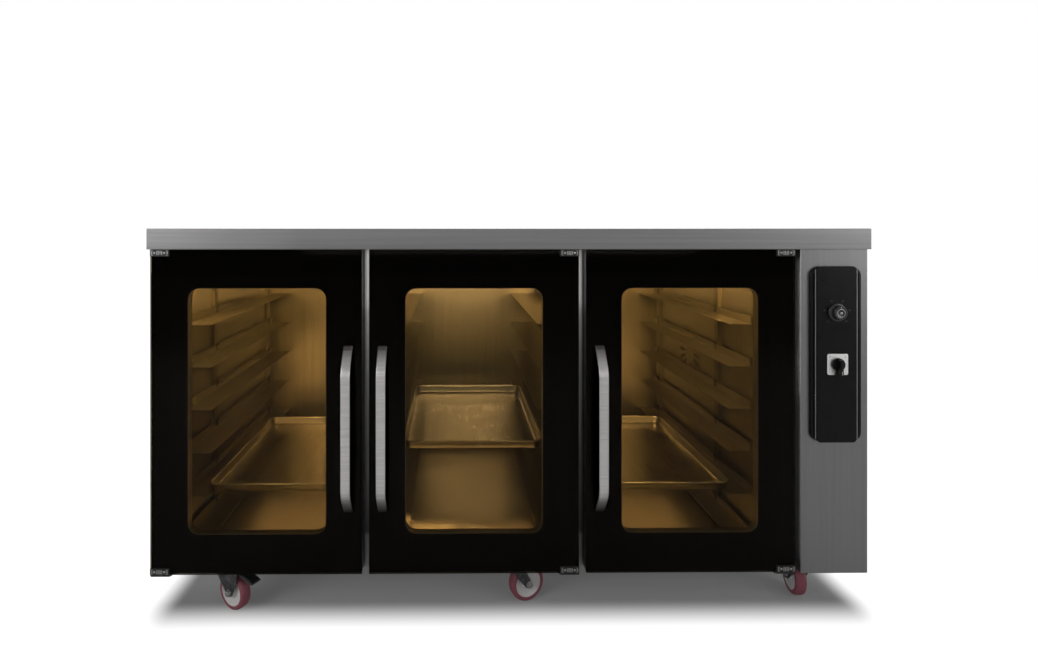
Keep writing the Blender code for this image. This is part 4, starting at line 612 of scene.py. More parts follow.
def doorParts(side):
    body = "door_" + side
    middle = (door["lefts"][side] + door["width"] / 2, door["bottom"] + door["height"] / 2)

    shape = bmesh.new()  # enamel fired round the window, behind the glass
    outer = roundedRect(door["width"] - 0.0012, door["height"] - 0.0012, 0.001, middle)
    inner = roundedRect(*door["window"], door["windowRadius"], middle)
    addFrame(shape, outer, inner, door["printBack"], door["printFront"], upright)
    showPiece("glassPrint_" + side, shape, glassEnamel, body)

    shape = bmesh.new()  # bright angle that lines the window opening
    size = [s + 0.003 for s in door["window"]]
    trim, back, front = door["trimWidth"], door["trimBack"], door["trimFront"]
    addRim(shape, size, door["windowRadius"] + 0.0015, middle, [
        (0, back), (0, front), (trim, front), (trim, front - 0.0012), (0.0008, front - 0.0020),
        (0.0008, back)])
    showPiece("windowTrim_" + side, shape, baySteel, body, smooth=40)

    shape = bmesh.new()  # bead that holds the inner pane, with its screws
    size = [s + 0.034 for s in door["window"]]
    wide, back = door["beadWidth"], door["beadBack"]
    addRim(shape, size, 0.012, middle, [
        (0, back), (0.0006, 0.4027), (wide - 0.003, 0.4024), (wide, 0.4034), (wide, back)])
    showPiece("paneBead_" + side, shape, frameCoat, body, smooth=40)
    shape = bmesh.new()
    across, up = size[0] / 2 - wide / 2, size[1] / 2 - wide / 2
    spots = [(sx * across, share * up) for sx in (-1, 1) for share in (-0.8, 0.0, 0.8)]
    spots += [(sx * across * 0.6, sz * up) for sx in (-1, 1) for sz in (-1, 1)]
    for n, (x, z) in enumerate(spots):
        place = facing((0, 1, 0), (middle[0] + x, -0.4026, middle[1] + z))
        addScrew(shape, place, door["beadScrew"], 0.0014, 37 * n)
    showPiece("beadScrews_" + side, shape, screwSteel, body, smooth=50)

    shape = bmesh.new()  # seal with two soft lips towards the body
    width, base, tip = door["sealWidth"], door["sealBase"], door["sealTip"]
    hollow, flank, shoulder = (base + share * (tip - base) for share in (0.45, 0.6, 0.72))
    addRim(shape, door["seal"], door["sealRadius"], middle, [
        (0, base), (0.0004, flank), (0.0022, tip), (0.0040, shoulder), (0.5 * width, hollow),
        (width - 0.0040, shoulder), (width - 0.0022, tip), (width - 0.0004, flank), (width, base)])
    showPiece("doorSeal_" + side, shape, sealRubber, body, body + "_seal", smooth=60)


for side in sides:
    doorParts(side)
print("doors dressed")


# pivot fittings at the hinge corners: dark block with a ribbed insert, clamp ends and two screws

pivot = {"width": 0.050, "height": 0.018, "face": -0.4440, "plate": 0.0012, "ribs": 4, "ribSpacing": 0.0042,
         "screw": 0.0030, "screwX": 0.0128}


# x of a door's hinged edge, and the way from there to its middle
def hingedEdge(side):
    hinge = door["hinges"][side]
    return door["lefts"][side] + (0 if hinge > 0 else door["width"]), hinge


def pivotFitting(side, end):
    body, key = "door_" + side, side + "_" + end
    edge, hinge = hingedEdge(side)
    x = edge + hinge * pivot["width"] / 2
    low = door["bottom"] + (door["height"] - pivot["height"] if end == "top" else 0)
    z = low + pivot["height"] / 2
    front = pivot["face"] - pivot["plate"]
    shape = bmesh.new()  # cover plate with rounded corners
    outline = roundedRect(pivot["width"] - 0.001, pivot["height"] - 0.001, 0.0020, (x, z), 5)
    addPrism(shape, outline, -pivot["face"], -front, upright)
    showPiece("pivotCover_" + key, shape, pivotZinc, body, bevel=0.0003)

    shape = bmesh.new()  # bright ribs in the middle and clamp bars at both ends

    def addBar(left, right, level, half):
        addBox(shape, (left, front - 0.0006, level - half), (right, front + 0.0002, level + half))

    for rib in range(pivot["ribs"]):
        at = x + (rib - (pivot["ribs"] - 1) / 2) * pivot["ribSpacing"]
        addBar(at - 0.0012, at + 0.0012, z, 0.0052)
    for share in (-1, 1):
        at = x + share * (pivot["width"] / 2 - 0.0042)
        addBar(at - 0.0009, at + 0.0009, z, 0.0062)
        for rise in (-0.0054, 0, 0.0054):
            reach = at - share * 0.0042
            addBar(min(at, reach), max(at, reach), z + rise, 0.0008)
    showPiece("pivotRibs_" + key, shape, screwSteel, body, bevel=0.0002, segments=1)
    shape = bmesh.new()
    for n, share in enumerate((-1, 1)):
        place = facing((0, -1, 0), (x + share * pivot["screwX"], front, z))
        addScrew(shape, place, pivot["screw"], 0.0012, 25 + 50 * n)
    showPiece("pivotScrews_" + key, shape, screwSteel, body, smooth=50)


for side in sides:
    for end in ("top", "bottom"):
        pivotFitting(side, end)
print("pivot fittings made")


# bowed flat bar handles

handle = {
    "centres": {"left": -0.426, "middle": -0.336, "right": 0.234}, "height": 0.515, "length": 0.440,
    "wide": 0.024, "thick": 0.006, "front": -0.490, "glass": -0.4422, "rise": 0.062, "bend": 0.055,
    "round": 0.0022, "step": 0.012,
}


# path through corners with rounded bends, in pieces no longer than needed
def bentPath(corners, radius, longest):
    path = [corners[0]]
    for before, here, after in zip(corners, corners[1:], corners[2:]):
        back, on = (before - here).normalized(), (after - here).normalized()
        reach = radius / math.tan(back.angle(on) / 2)
        path += bend(here + back * reach, here, here + on * reach, 10)
    path.append(corners[-1])
    points = []
    for a, b in zip(path, path[1:]):
        count = max(1, int((b - a).length / longest))
        points += [a + (b - a) * i / count for i in range(count)]
    return points + [path[-1]]


def handleBar(side):
    half = handle["length"] / 2
    inner, outer = handle["glass"] - 0.0002, handle["front"] + handle["thick"] / 2
    corners = [Vector(point) for point in (  # depth and height
        (inner, -half + 0.005), (outer, -half + handle["rise"]), (outer, half - handle["rise"]),
        (inner, half - 0.005))]
    path = bentPath(corners, handle["bend"], handle["step"])
    section = roundedRect(handle["wide"], handle["thick"], handle["round"], steps=5)
    x, height = handle["centres"][side], handle["height"]
    loops = []
    for i, point in enumerate(path):
        ahead = (path[min(i + 1, len(path) - 1)] - path[max(i - 1, 0)]).normalized()
        normal = Vector((-ahead.y, ahead.x))
        if i in (0, len(path) - 1):  # the feet are cut flat against the glass
            normal = Vector((0, -1))
        loops.append([(x + u, point.x + normal.x * v, height + point.y + normal.y * v) for u, v in section])
    shape = bmesh.new()
    addSkin(shape, loops)
    showPiece("handleBar_" + side, shape, barSteel, "door_" + side, "door_" + side + "_handle", smooth=50)


for side in sides:
    handleBar(side)
print("handles made")


# lamps of the light bar, one strip over each bay

bayLamps = {  # middle of the bay, colour, power, aim in depth and height
    "left": (-0.640, "ffcf8c", 7.2, (0.02, 0.42)), "middle": (-0.096, "ffdcb2", 2.8, (0.28, 0.74)),
    "right": (0.436, "ffcf8c", 7.2, (0.02, 0.42)),
}
# where the warm light gathers: place, aim, width, height, power
pools = {
    "wall_left": ((-0.780, 0.130, 0.455), (-0.800, 0.450, 0.440), 0.26, 0.26, 0.30),
    "wall_right": ((0.576, 0.130, 0.455), (0.596, 0.450, 0.440), 0.26, 0.26, 0.29),
    "wall_middle": ((-0.096, 0.130, 0.640), (-0.096, 0.450, 0.620), 0.32, 0.28, 0.11),
    "floor_left": ((-0.640, -0.05, 0.298), (-0.640, -0.05, 0.170), 0.34, 0.34, 0.36),
    "floor_right": ((0.436, -0.05, 0.298), (0.436, -0.05, 0.170), 0.34, 0.34, 0.36),
    "floor_middle": ((-0.096, -0.05, 0.416), (-0.096, -0.05, 0.170), 0.34, 0.34, 0.14),
    "front_middle": ((-0.130, -0.205, 0.214), (-0.130, -0.300, 0.170), 0.44, 0.012, 0.040),
    "corner_middle": ((-0.230, -0.205, 0.214), (-0.230, -0.300, 0.170), 0.16, 0.012, 0.035),
    "edge_left": ((-0.640, -0.372, 0.905), (-0.640, -0.345, 0.330), 0.36, 0.02, 1.05),
    "edge_middle": ((-0.110, -0.380, 0.372), (-0.110, -0.341, 0.434), 0.40, 0.020, 0.22),
    "edge_right": ((0.436, -0.372, 0.905), (0.436, -0.345, 0.330), 0.36, 0.02, 1.05),
}
for side, (x, colour, power, aim) in bayLamps.items():
    addLamp("bayLamp_" + side, (x, -0.300, 0.925), (x, *aim), 0.42, 0.03, power, colour, "cabinet")
for name, values in pools.items():
    addLamp("bayGlow_" + name, *values, "ffc987", "cabinet")
for middle, high in ((0.560, 0.800), (0.780, 0.360)):  # daylight in the slot left of the column cover
    place, aim = (0.7515, -0.424, middle), (0.766, -0.424, middle)
    addLamp("slotLight_" + str(round(high * 1000)), place, aim, 0.004, high, 0.014, body="cabinet")
for side, x, power in (("left", -0.381, 0.0021), ("right", 0.189, 0.0042)):  # and between the doors, high up
    place, aim = (x, -0.4390, 0.900), (x, -0.4020, 0.900)
    addLamp("gapLight_" + side, place, aim, 0.012, 0.150, power, body="cabinet")
print("lamps placed")


# control column: panel, dial, thermostat knob and cam switch, depths again towards the viewer

panel = {
    "x": 0.8555, "middle": 0.7095, "wide": 0.134, "high": 0.457, "radius": 0.022, "back": 0.4403,
    "base": 0.4473, "strip": 0.4513, "stripWide": 0.105, "stripRadius": 0.010,
    "lineX": (-0.0548, 0.0548), "lineWide": 0.0028,
}
base = panel["base"]
centre = (panel["x"], panel["middle"])
shape = bmesh.new()  # base with rounded rim and a shallow flute along both sides
addRim(shape, (panel["wide"], panel["high"]), panel["radius"], centre, [
    (0, panel["back"]), (0, base - 0.0016), (0.0006, base - 0.0006), (0.0018, base), (0.0060, base),
    (0.0085, base - 0.0022), (0.0125, base - 0.0022)], steps=12, closed=False)
showPiece("controlPanel", shape, panelPlastic, replaced="control_panel", smooth=40)

shape = bmesh.new()  # raised middle strip
outline = roundedRect(panel["stripWide"], panel["high"] + 0.0055, panel["stripRadius"], centre, 10)
addPrism(shape, outline, base - 0.0030, panel["strip"], upright)
showPiece("panelStrip", shape, panelPlastic, bevel=0.0012, segments=3)

shape = bmesh.new()  # thin bright lines let in along both edges of the strip
wide = panel["lineWide"]
for offset in panel["lineX"]:
    middle = (panel["x"] + offset, panel["middle"])
    outline = roundedRect(wide, panel["high"] - 0.010, 0.45 * wide, middle, 4)
    addPrism(shape, outline, base - 0.0010, base + 0.0016, upright)
showPiece("panelLines", shape, trimAluminium, bevel=0.0002, segments=1)

knob = {"z": 0.820, "radius": 0.0235, "grip": 0.0180, "flutes": 18, "perFlute": 6, "marks": 11,
        "marksFrom": -135, "marksSweep": 270}
knobPlace = facing((0, -1, 0), (panel["x"], -panel["strip"], knob["z"]))


# the outline of the fluted grip at one height
def flutedRing(radius, depth):
    points = []
    count = knob["flutes"] * knob["perFlute"]
    for i in range(count):
        turn = math.tau * i / count
        reach = radius - depth * (0.5 + 0.5 * math.cos(knob["flutes"] * turn)) ** 2
        points.append((reach * math.cos(turn), reach * math.sin(turn)))
    return points


shape = bmesh.new()
disc, grip = knob["radius"], knob["grip"]
levels = (  # radius, height, depth of the flutes
    (disc, 0.0004, 0), (disc, 0.0030, 0), (disc - 0.0010, 0.0040, 0), (grip + 0.0016, 0.0043, 0),
    (grip + 0.0008, 0.0052, 0.0009), (grip, 0.0150, 0.0011), (grip - 0.0005, 0.0166, 0.0008),
    (grip - 0.0018, 0.0178, 0), (grip - 0.0052, 0.0180, 0), (grip - 0.0064, 0.0172, 0))
addSkin(shape, [lifted(flutedRing(radius, dip), high, knobPlace) for radius, high, dip in levels])
showPiece("thermostatKnob", shape, knobPlastic, "thermostat_knob", "thermostat_knob", smooth=40)

shape = bmesh.new()  # bright cap in the middle of the knob and ring round it
addTurned(shape, [(0.0030, 0.0171), (0.0034, 0.0176), (0.0034, 0.0184), (0.0026, 0.0191), (0, 0.0193)],
          knobPlace, 32)
addTurned(shape, [(0.0106, 0.0171), (0.0106, 0.0176), (0.0100, 0.0178), (0.0094, 0.0176), (0.0094, 0.0171)],
          knobPlace, closed=True)
showPiece("knobCap", shape, screwSteel, "thermostat_knob", smooth=50)
shape = bmesh.new()  # white pointer on the grip and on the skirt
addBox(shape, (-0.0006, 0.0118, 0.0176), (0.0006, 0.0166, 0.01815), knobPlace)
addBox(shape, (-0.0005, 0.0196, 0.0036), (0.0005, 0.0222, 0.00405), knobPlace)
showPiece("knobPointer", shape, markInk, "thermostat_knob")


# turn of one of the dial's marks, clockwise from the top
def markTurn(mark):
    return math.radians(knob["marksFrom"] + knob["marksSweep"] * mark / (knob["marks"] - 1))


shape = bmesh.new()  # printed ticks round the knob, every second one longer
near = disc + 0.0016
for mark in range(knob["marks"]):
    long = 0.0018 if mark % 2 else 0.0032
    tick = knobPlace @ Matrix.Rotation(-markTurn(mark), 4, "Z")
    addBox(shape, (-0.00025, near, 0.00002), (0.00025, near + long, 0.00010), tick)
showPiece("dialTicks", shape, dialInk)


# mesh of a text or a curve
def meshFrom(name, data):
    guide = bpy.data.objects.new(name, data)
    scene.collection.objects.link(guide)
    bpy.context.view_layer.update()
    mesh = bpy.data.meshes.new_from_object(guide.evaluated_get(bpy.context.evaluated_depsgraph_get()))
    bpy.data.objects.remove(guide, do_unlink=True)
    return mesh


def printedText(name, words, size, ink, place):
    data = bpy.data.curves.new(name, "FONT")
    data.body = words
    data.size = size
    data.extrude = 0.00004
    data.align_x = "CENTER"
    data.align_y = "CENTER"
    data.resolution_u = 3
    mesh = meshFrom(name, data)
    mesh.transform(facing((0, -1, 0), place))
    mesh.materials.clear()
    mesh.materials.append(ink)
    piece = bpy.data.objects.new(name, mesh)
    scene.collection.objects.link(piece)
    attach(piece, "cabinet")


reach = disc + 0.0098
for mark in range(0, knob["marks"], 2):  # 0 to 100 in twenties, read clockwise
    words = str(10 * mark)
    across, up = reach * math.sin(markTurn(mark)), reach * math.cos(markTurn(mark))
    place = (panel["x"] + across, -panel["strip"] - 0.00005, knob["z"] + up)
    printedText("dialFigure_" + words, words, 0.0052, dialInk, place)
print("thermostat knob and dial made")


# cam switch: pale plate with rounded corners, black handle with a tapering pointer grip

switch = {"z": 0.684, "plate": 0.055, "back": 0.4516, "front": 0.4546, "seat": 0.4549, "disc": 0.0170,
          "base": 0.0050, "grip": 0.0185, "tip": 0.0300, "tipWidth": 0.0150, "gripWidth": 0.0095,
          "figureX": 0.0205, "figureZ": 0.0195, "figureHigh": 0.0065}
shape = bmesh.new()
outline = roundedRect(switch["plate"], switch["plate"], 0.0045, (panel["x"], switch["z"]))
addPrism(shape, outline, switch["back"], switch["front"], upright)
showPiece("switchPlate", shape, plateAluminium, replaced="cam_switch_plate", bevel=0.0007, segments=3)

switchPlace = Matrix.Translation((panel["x"], -switch["seat"], switch["z"])) @ upright
tip = switch["tip"]
shape = bmesh.new()  # round base that tapers into the pointer
half = switch["tipWidth"] / 2
outline = arcPoints((0, 0), switch["disc"], -38, 218, 40)
outline += softOutline([(-half, -0.6 * tip, 0.004), (-half, -tip, 0.0035), (half, -tip, 0.0035),
                        (half, -0.6 * tip, 0.004)])
addPrism(shape, outline, 0, switch["base"], switchPlace)
showPiece("camHandleBase", shape, handlePlastic, "cam_handle", "cam_handle", bevel=0.0012, segments=3)
shape = bmesh.new()  # raised grip bar, waisted in the middle
half = switch["gripWidth"] / 2
outline = softOutline([(-half, 0.0150, 0.003), (-0.72 * half, 0, 0.02), (-half, -0.86 * tip, 0.003),
                       (half, -0.86 * tip, 0.003), (0.72 * half, 0, 0.02), (half, 0.0150, 0.003)], 6)
addPrism(shape, outline, switch["base"] - 0.001, switch["grip"], switchPlace)
showPiece("camHandleGrip", shape, handlePlastic, "cam_handle", bevel=0.0018, segments=4)
shape = bmesh.new()
addBox(shape, (-0.0006, -0.80 * tip, switch["grip"] - 0.0001),
       (0.0006, -0.48 * tip, switch["grip"] + 0.0001), switchPlace)
showPiece("camHandleMark", shape, markInk, "cam_handle")
for words, turned in (("0", -1), ("1", 1)):
    x, z = panel["x"] + turned * switch["figureX"], switch["z"] + switch["figureZ"]
    place = (x, -switch["front"] - 0.00003, z)
    printedText("switchFigure_" + words, words, switch["figureHigh"], glandNylon, place)
print("cam switch made")


# casters: local x is the trail, the origin on the floor under the swivel axis

caster = {
    "row": {"left": -0.780, "middle": 0.020, "right": 0.820}, "ends": {"front": -0.345, "back": 0.385},
    "turns": {"front_left": -32, "front_middle": 22, "front_right": 84, "back_left": 65, "back_middle": 100,
              "back_right": 120},
    "brakes": ("front_left", "front_right"),
    "trail": 0.036, "radius": 0.050, "half": 0.015, "hubHalf": 0.017,
    "crown": 0.030, "crownLow": 0.1107, "crownTop": 0.1207, "legInner": 0.0185, "sheet": 0.003,
    "nut": 0.0085, "nutHigh": 0.0044, "plate": 0.125, "bolts": (0.038, 0.031), "bolt": 0.0058,
    "pedal": (0.026, 0.053), "pedalLength": 0.052, "pedalFall": 0.014, "pedalWidth": 0.030,
    "padRibs": 7, "ribSpacing": 0.0049,
}


# the same profile on both faces of a wheel
def addMirrored(shape, profile, place, steps=64):
    addTurned(shape, profile + [(r, -h) for r, h in reversed(profile)], place, steps, closed=True)


def casterParts(key):
    end, side = key.split("_")
    fork, wheel = "caster_" + key + "_fork", "caster_" + key + "_wheel"
    spot = Vector((caster["row"][side], caster["ends"][end], 0))
    place = Matrix.Translation(spot) @ Matrix.Rotation(math.radians(caster["turns"][key]), 4, "Z")
    trail, radius = caster["trail"], caster["radius"]
    axle = place @ Matrix.Translation((trail, 0, radius)) @ upright

    shape = bmesh.new()  # cast tread with rounded shoulders and a faint crown
    addMirrored(shape, [(0.0376, 0.0136), (0.0384, 0.0146), (0.0420, caster["half"]), (0.0452, 0.0144),
                        (0.0478, 0.0124), (0.0493, 0.0095), (0.0499, 0.0050), (radius, 0.0016)], axle, 72)
    showPiece("tread_" + key, shape, treadRubber, wheel, wheel, smooth=40)
    shape = bmesh.new()  # moulded hub: boss, dished web, rim
    hub = caster["hubHalf"]
    addMirrored(shape, [(0.0054, 0.0158), (0.0098, 0.0158), (0.0100, hub), (0.0128, hub), (0.0138, 0.0160),
                        (0.0144, 0.0110), (0.0162, 0.0094), (0.0200, 0.0090), (0.0310, 0.0094),
                        (0.0340, 0.0104), (0.0352, 0.0126), (0.0362, 0.0138), (0.0376, 0.0138)], axle)
    showPiece("wheelHub_" + key, shape, hubPlastic, wheel, smooth=50)
    shape = bmesh.new()  # pressed bearing shields
    addMirrored(shape, [(0.0053, 0.0162), (0.0070, 0.0166), (0.0092, 0.0164), (0.0097, 0.0158)], axle, 40)
    showPiece("bearingShields_" + key, shape, zincPlate, wheel, smooth=60)

    shape = bmesh.new()  # pressed crown, rolled edge, and the kingpin's rivet head
    low, top, crown = caster["crownLow"], caster["crownTop"], caster["crown"]
    addTurned(shape, [(0, low), (crown - 0.0016, low), (crown - 0.0004, low + 0.0008), (crown, low + 0.0024),
                      (crown - 0.0003, top - 0.0032), (crown - 0.0022, top - 0.0010), (crown - 0.0060, top),
                      (0, top)], place, 56)
    addTurned(shape, [(0, low - 0.0052), (0.0040, low - 0.0050), (0.0066, low - 0.0036),
                      (0.0080, low - 0.0012), (0.0084, low + 0.0004)], place, 32)
    showPiece("forkCrown_" + key, shape, forkSteel, fork, fork, smooth=40)

    inner, face = caster["legInner"], caster["legInner"] + caster["sheet"]
    back, up = caster["pedal"]
    legTop = low + 0.005
    outline = [(-0.025, legTop, 0.001), (-0.025, legTop - 0.010, 0.006),
               (trail - 0.012, radius - 0.005, 0.010), (trail, radius - 0.0125, 0.012),
               (trail + 0.012, radius - 0.005, 0.010)]
    if key in caster["brakes"]:  # the legs of a braked fork reach back to the pedal's pin
        outline += [(trail + back + 0.007, radius + up - 0.012, 0.006),
                    (trail + back + 0.006, radius + up + 0.007, 0.006), (trail, legTop, 0.004)]
    else:
        outline += [(0.022, legTop - 0.020, 0.020), (0.025, legTop, 0.001)]
    shape = bmesh.new()
    for start, stop in ((inner, face), (-face, -inner)):
        addPrism(shape, softOutline(outline, 6), start, stop, place @ upright)
    showPiece("forkLegs_" + key, shape, forkSteel, fork, bevel=0.0009)
    shape = bmesh.new()  # stiffening bead along the leading edge of both legs
    for y in (-face, face):
        addTube(shape, [place @ Vector(p) for p in (
            (-0.0205, y, legTop - 0.006), (-0.0190, y, legTop - 0.012), (-0.006, y, 0.0862),
            (0.010, y, 0.0664), (trail - 0.0125, y, radius + 0.0035))], 0.0016, 12)
    showPiece("forkBeads_" + key, shape, forkSteel, fork, smooth=60)
    shape = bmesh.new()  # washers, nuts and the ends of the axle bolt
    seat = face + 0.0012
    for turn in (math.pi, 0):
        boltPlace = axle @ Matrix.Rotation(turn, 4, "X")
        addTurned(shape, [(0.0046, face), (0.0100, face), (0.0100, face + 0.0009), (0.0096, seat),
                          (0.0046, seat)], boltPlace, 36)
        addPrism(shape, polygon(caster["nut"], 6), seat, seat + caster["nutHigh"], boltPlace)
        addTurned(shape, [(0, face), (0.0046, face), (0.0046, face + 0.0053), (0.0040, face + 0.0059),
                          (0, face + 0.0059)], boltPlace, 28)
    showPiece("axleNuts_" + key, shape, screwSteel, fork, bevel=0.0004)

    shape = bmesh.new()  # hexagon bolts that hold the plate to the floor pan
    across, along = caster["bolts"]
    for sx in (-1, 1):
        for sy in (-1, 1):
            head = (caster["row"][side] + sx * across, caster["ends"][end] + sy * along, caster["plate"])
            boltPlace = facing((0, 0, -1), head, 17 * sx + 40 * sy)
            washer = [(0, 0), (0.0080, 0), (0.0080, 0.0008), (0.0076, 0.0011), (0, 0.0011)]
            addTurned(shape, washer, boltPlace, 28)
            addPrism(shape, polygon(caster["bolt"], 6), 0.0010, 0.0042, boltPlace)
    showPiece("plateBolts_" + key, shape, zincPlate, bevel=0.0004)
    if key not in caster["brakes"]:
        return

    brake = "caster_" + key + "_brake"
    half, long = caster["pedalWidth"] / 2, caster["pedalLength"]
    slope = math.atan2(caster["pedalFall"], long)
    downward = place @ Matrix.Translation((trail + back, 0, radius + up)) @ upright
    downward = downward @ Matrix.Rotation(-slope, 4, "Z")
    inner, outer = 0.0031, 0.0071
    shape = bmesh.new()  # pressed lever that hooks over the pin
    outline = arcPoints((0, 0), outer, 198, 90, 12)
    outline += [(long, outer), (long + 0.0070, outer + 0.0030), (long + 0.0078, inner + 0.0030),
                (long, inner)]
    outline += arcPoints((0, 0), inner, 90, 198, 12)
    addPrism(shape, outline, -half, half, downward)
    showPiece("pedalLever_" + key, shape, forkSteel, brake, brake, bevel=0.0006)
    shape = bmesh.new()  # black tread pad on the lever, with grip ribs
    outline = [(0.0140, outer - 0.0002), (long + 0.0040, outer + 0.0010), (long + 0.0062, outer + 0.0034),
               (long - 0.0010, outer + 0.0042), (0.0180, outer + 0.0030)]
    addPrism(shape, outline, -half + 0.0012, half - 0.0012, downward)
    for rib in range(caster["padRibs"]):
        x = 0.0200 + rib * caster["ribSpacing"]
        addBox(shape, (x, outer + 0.0026, -half + 0.0028),
               (x + 0.0022, outer + 0.0052, half - 0.0028), downward)
    showPiece("pedalPad_" + key, shape, glandNylon, brake, bevel=0.0005)


for key in casters:
    casterParts(key)
print("casters made")


# worktop: folded slab with a drip edge that covers the gap above the doors

worktop = {"round": 0.003, "drip": 0.0046, "dripSheet": 0.0014}
low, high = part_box("worktop")
shape = bmesh.new()
lip, drip = low.y + worktop["dripSheet"], low.z - worktop["drip"]
outline = softOutline([
    (low.y, high.z, worktop["round"]), (low.y, drip, 0.0006), (lip, drip, 0.0006), (lip, low.z, 0.0004),
    (high.y, low.z, 0.001), (high.y, high.z, worktop["round"])], 6)
addPrism(shape, outline, low.x, high.x, alongX)
showPiece("worktopSlab", shape, topSteel, replaced="worktop", smooth=35, bevel=0.0008)
print("worktop made")


# cover strips on the dividers, seen between the doors

strip = {"middles": {"left": -0.381, "right": 0.189}, "half": 0.0088, "front": -0.4020, "back": -0.3980,
         "low": 0.1335, "high": 0.9850}
for side, x in strip["middles"].items():
    left, right = x - strip["half"], x + strip["half"]
    outline = softOutline([(left, strip["back"], 0.0003), (left, strip["front"], 0.0014),
                           (right, strip["front"], 0.0014), (right, strip["back"], 0.0003)], 4)
    shape = bmesh.new()
    addPrism(shape, outline, strip["low"], strip["high"], noTurn)
    showPiece("dividerStrip_" + side, shape, stripSteel, smooth=40)
print("divider strips made")


# dark covers laid as a thin skin over the hinge plates of the body, painted shade on these edge-on plates,
# each with the head of its pin

hingePlate = {"front": -0.4402, "back": -0.3983, "skin": 0.0003,
              "inset": 0.012, "pinY": -0.423, "screwY": -0.410,
              "top": {"low": 0.9856, "high": 0.9896, "width": 0.050, "taper": 0.0},
              "bottom": {"low": 0.1289, "high": 0.1345, "width": 0.070, "taper": 0.020}}


def hingeShadeCover(side, end):
    edge, hinge = hingedEdge(side)
    sizes, skin = hingePlate[end], hingePlate["skin"]
    outline = [(edge - hinge * skin, hingePlate["front"], 0.0008),
               (edge + hinge * (sizes["width"] - sizes["taper"]), hingePlate["front"], 0.003),
               (edge + hinge * (sizes["width"] + skin), hingePlate["back"], 0.0008),
               (edge - hinge * skin, hingePlate["back"], 0.0008)]
    shape = bmesh.new()
    addPrism(shape, softOutline(outline, 4), sizes["low"], sizes["high"], noTurn)
    showPiece("hingeShadeCover_" + side + "_" + end, shape, pivotZinc, bevel=0.0005)
    if end == "bottom":
        shape = bmesh.new()  # riveted pin head and two countersunk screws from below
        spot = (edge + hinge * hingePlate["inset"], hingePlate["pinY"], sizes["low"])
        addTurned(shape, [(0, 0.0026), (0.0030, 0.0024), (0.0046, 0.0014), (0.0052, 0), (0.0052, -0.001)],
                  facing((0, 0, -1), spot), 24)
        for n, reach in enumerate((0.030, 0.050)):
            spot = (edge + hinge * reach, hingePlate["screwY"], sizes["low"])
            addScrew(shape, facing((0, 0, -1), spot), 0.0036, 0.0012, 31 * n)
        showPiece("hingePin_" + side, shape, screwSteel, smooth=50)


for side in sides:
    for end in ("top", "bottom"):
        hingeShadeCover(side, end)
print("hinge covers made")


# bright sheets that line the bays, with a coved edge between back and floor

liner = {"left": -0.9048, "right": 0.6896, "front": -0.3972, "back": 0.4497, "low": 0.1702, "high": 0.9496,
         "sheet": 0.0005, "cove": 0.010, "seams": (-0.381, 0.189), "seam": 0.004, "seamFront": 0.4478}
back, low, top, cove = liner["back"], liner["low"], liner["high"], liner["cove"]
inside, bottom = back - liner["sheet"], low + liner["sheet"]
shape = bmesh.new()
profile = [(liner["front"], low), (back, low), (back, top), (inside, top)]
profile += arcPoints((inside - cove, bottom + cove), cove, 0, -90, 8) + [(liner["front"], bottom)]
addPrism(shape, profile, liner["left"], liner["right"], alongX)
showPiece("linerBackFloor", shape, baySteel, smooth=40)
shape = bmesh.new()
addBox(shape, (liner["left"], liner["front"], bottom), (liner["left"] + liner["sheet"], inside, top))
showPiece("linerLeft", shape, baySteel)
shape = bmesh.new()  # standing seams of the back sheet, behind the mullions
for x in liner["seams"]:
    left, right, front = x - liner["seam"], x + liner["seam"], liner["seamFront"]
    outline = softOutline([(left, back, 0.0002), (left + 0.001, front, 0.0008),
                           (right - 0.001, front, 0.0008), (right, back, 0.0002)], 3)
    addPrism(shape, outline, bottom, top, noTurn)
showPiece("linerSeams", shape, baySteel, smooth=40)
print("bays lined")


# trays: drawn sheet with rounded corners and a rolled rim

tray = {"corner": 0.030, "least": 0.004, "high": 0.0250,
        "wall": [(0.0300, 0.0012), (0.0170, 0.0013), (0.0135, 0.0022), (0.0118, 0.0048), (0.0092, 0.0200),
                 (0.0082, 0.0234), (0.0062, 0.0247), (0.0034, 0.0250), (0.0010, 0.0244), (0.0000, 0.0228),
                 (0.0006, 0.0210), (0.0024, 0.0202), (0.0052, 0.0204), (0.0080, 0.0192), (0.0106, 0.0046),
                 (0.0126, 0.0012), (0.0168, 0.0001), (0.0300, 0.0)]}
for side in sides:
    low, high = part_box("tray_" + side)
    rise = (high.z - low.z) / tray["high"]
    wall = [(inset, low.z + level * rise) for inset, level in tray["wall"]]
    shape = bmesh.new()
    addRim(shape, high - low, tray["corner"], (low + high) / 2, wall, noTurn,
           closed=False, least=tray["least"], flipped=True)
    showPiece("bakingTray_" + side, shape, trayAluminium, replaced="tray_" + side, smooth=60)
print("trays made")


# light bar: aluminium channel, opal lens below it, closed ends

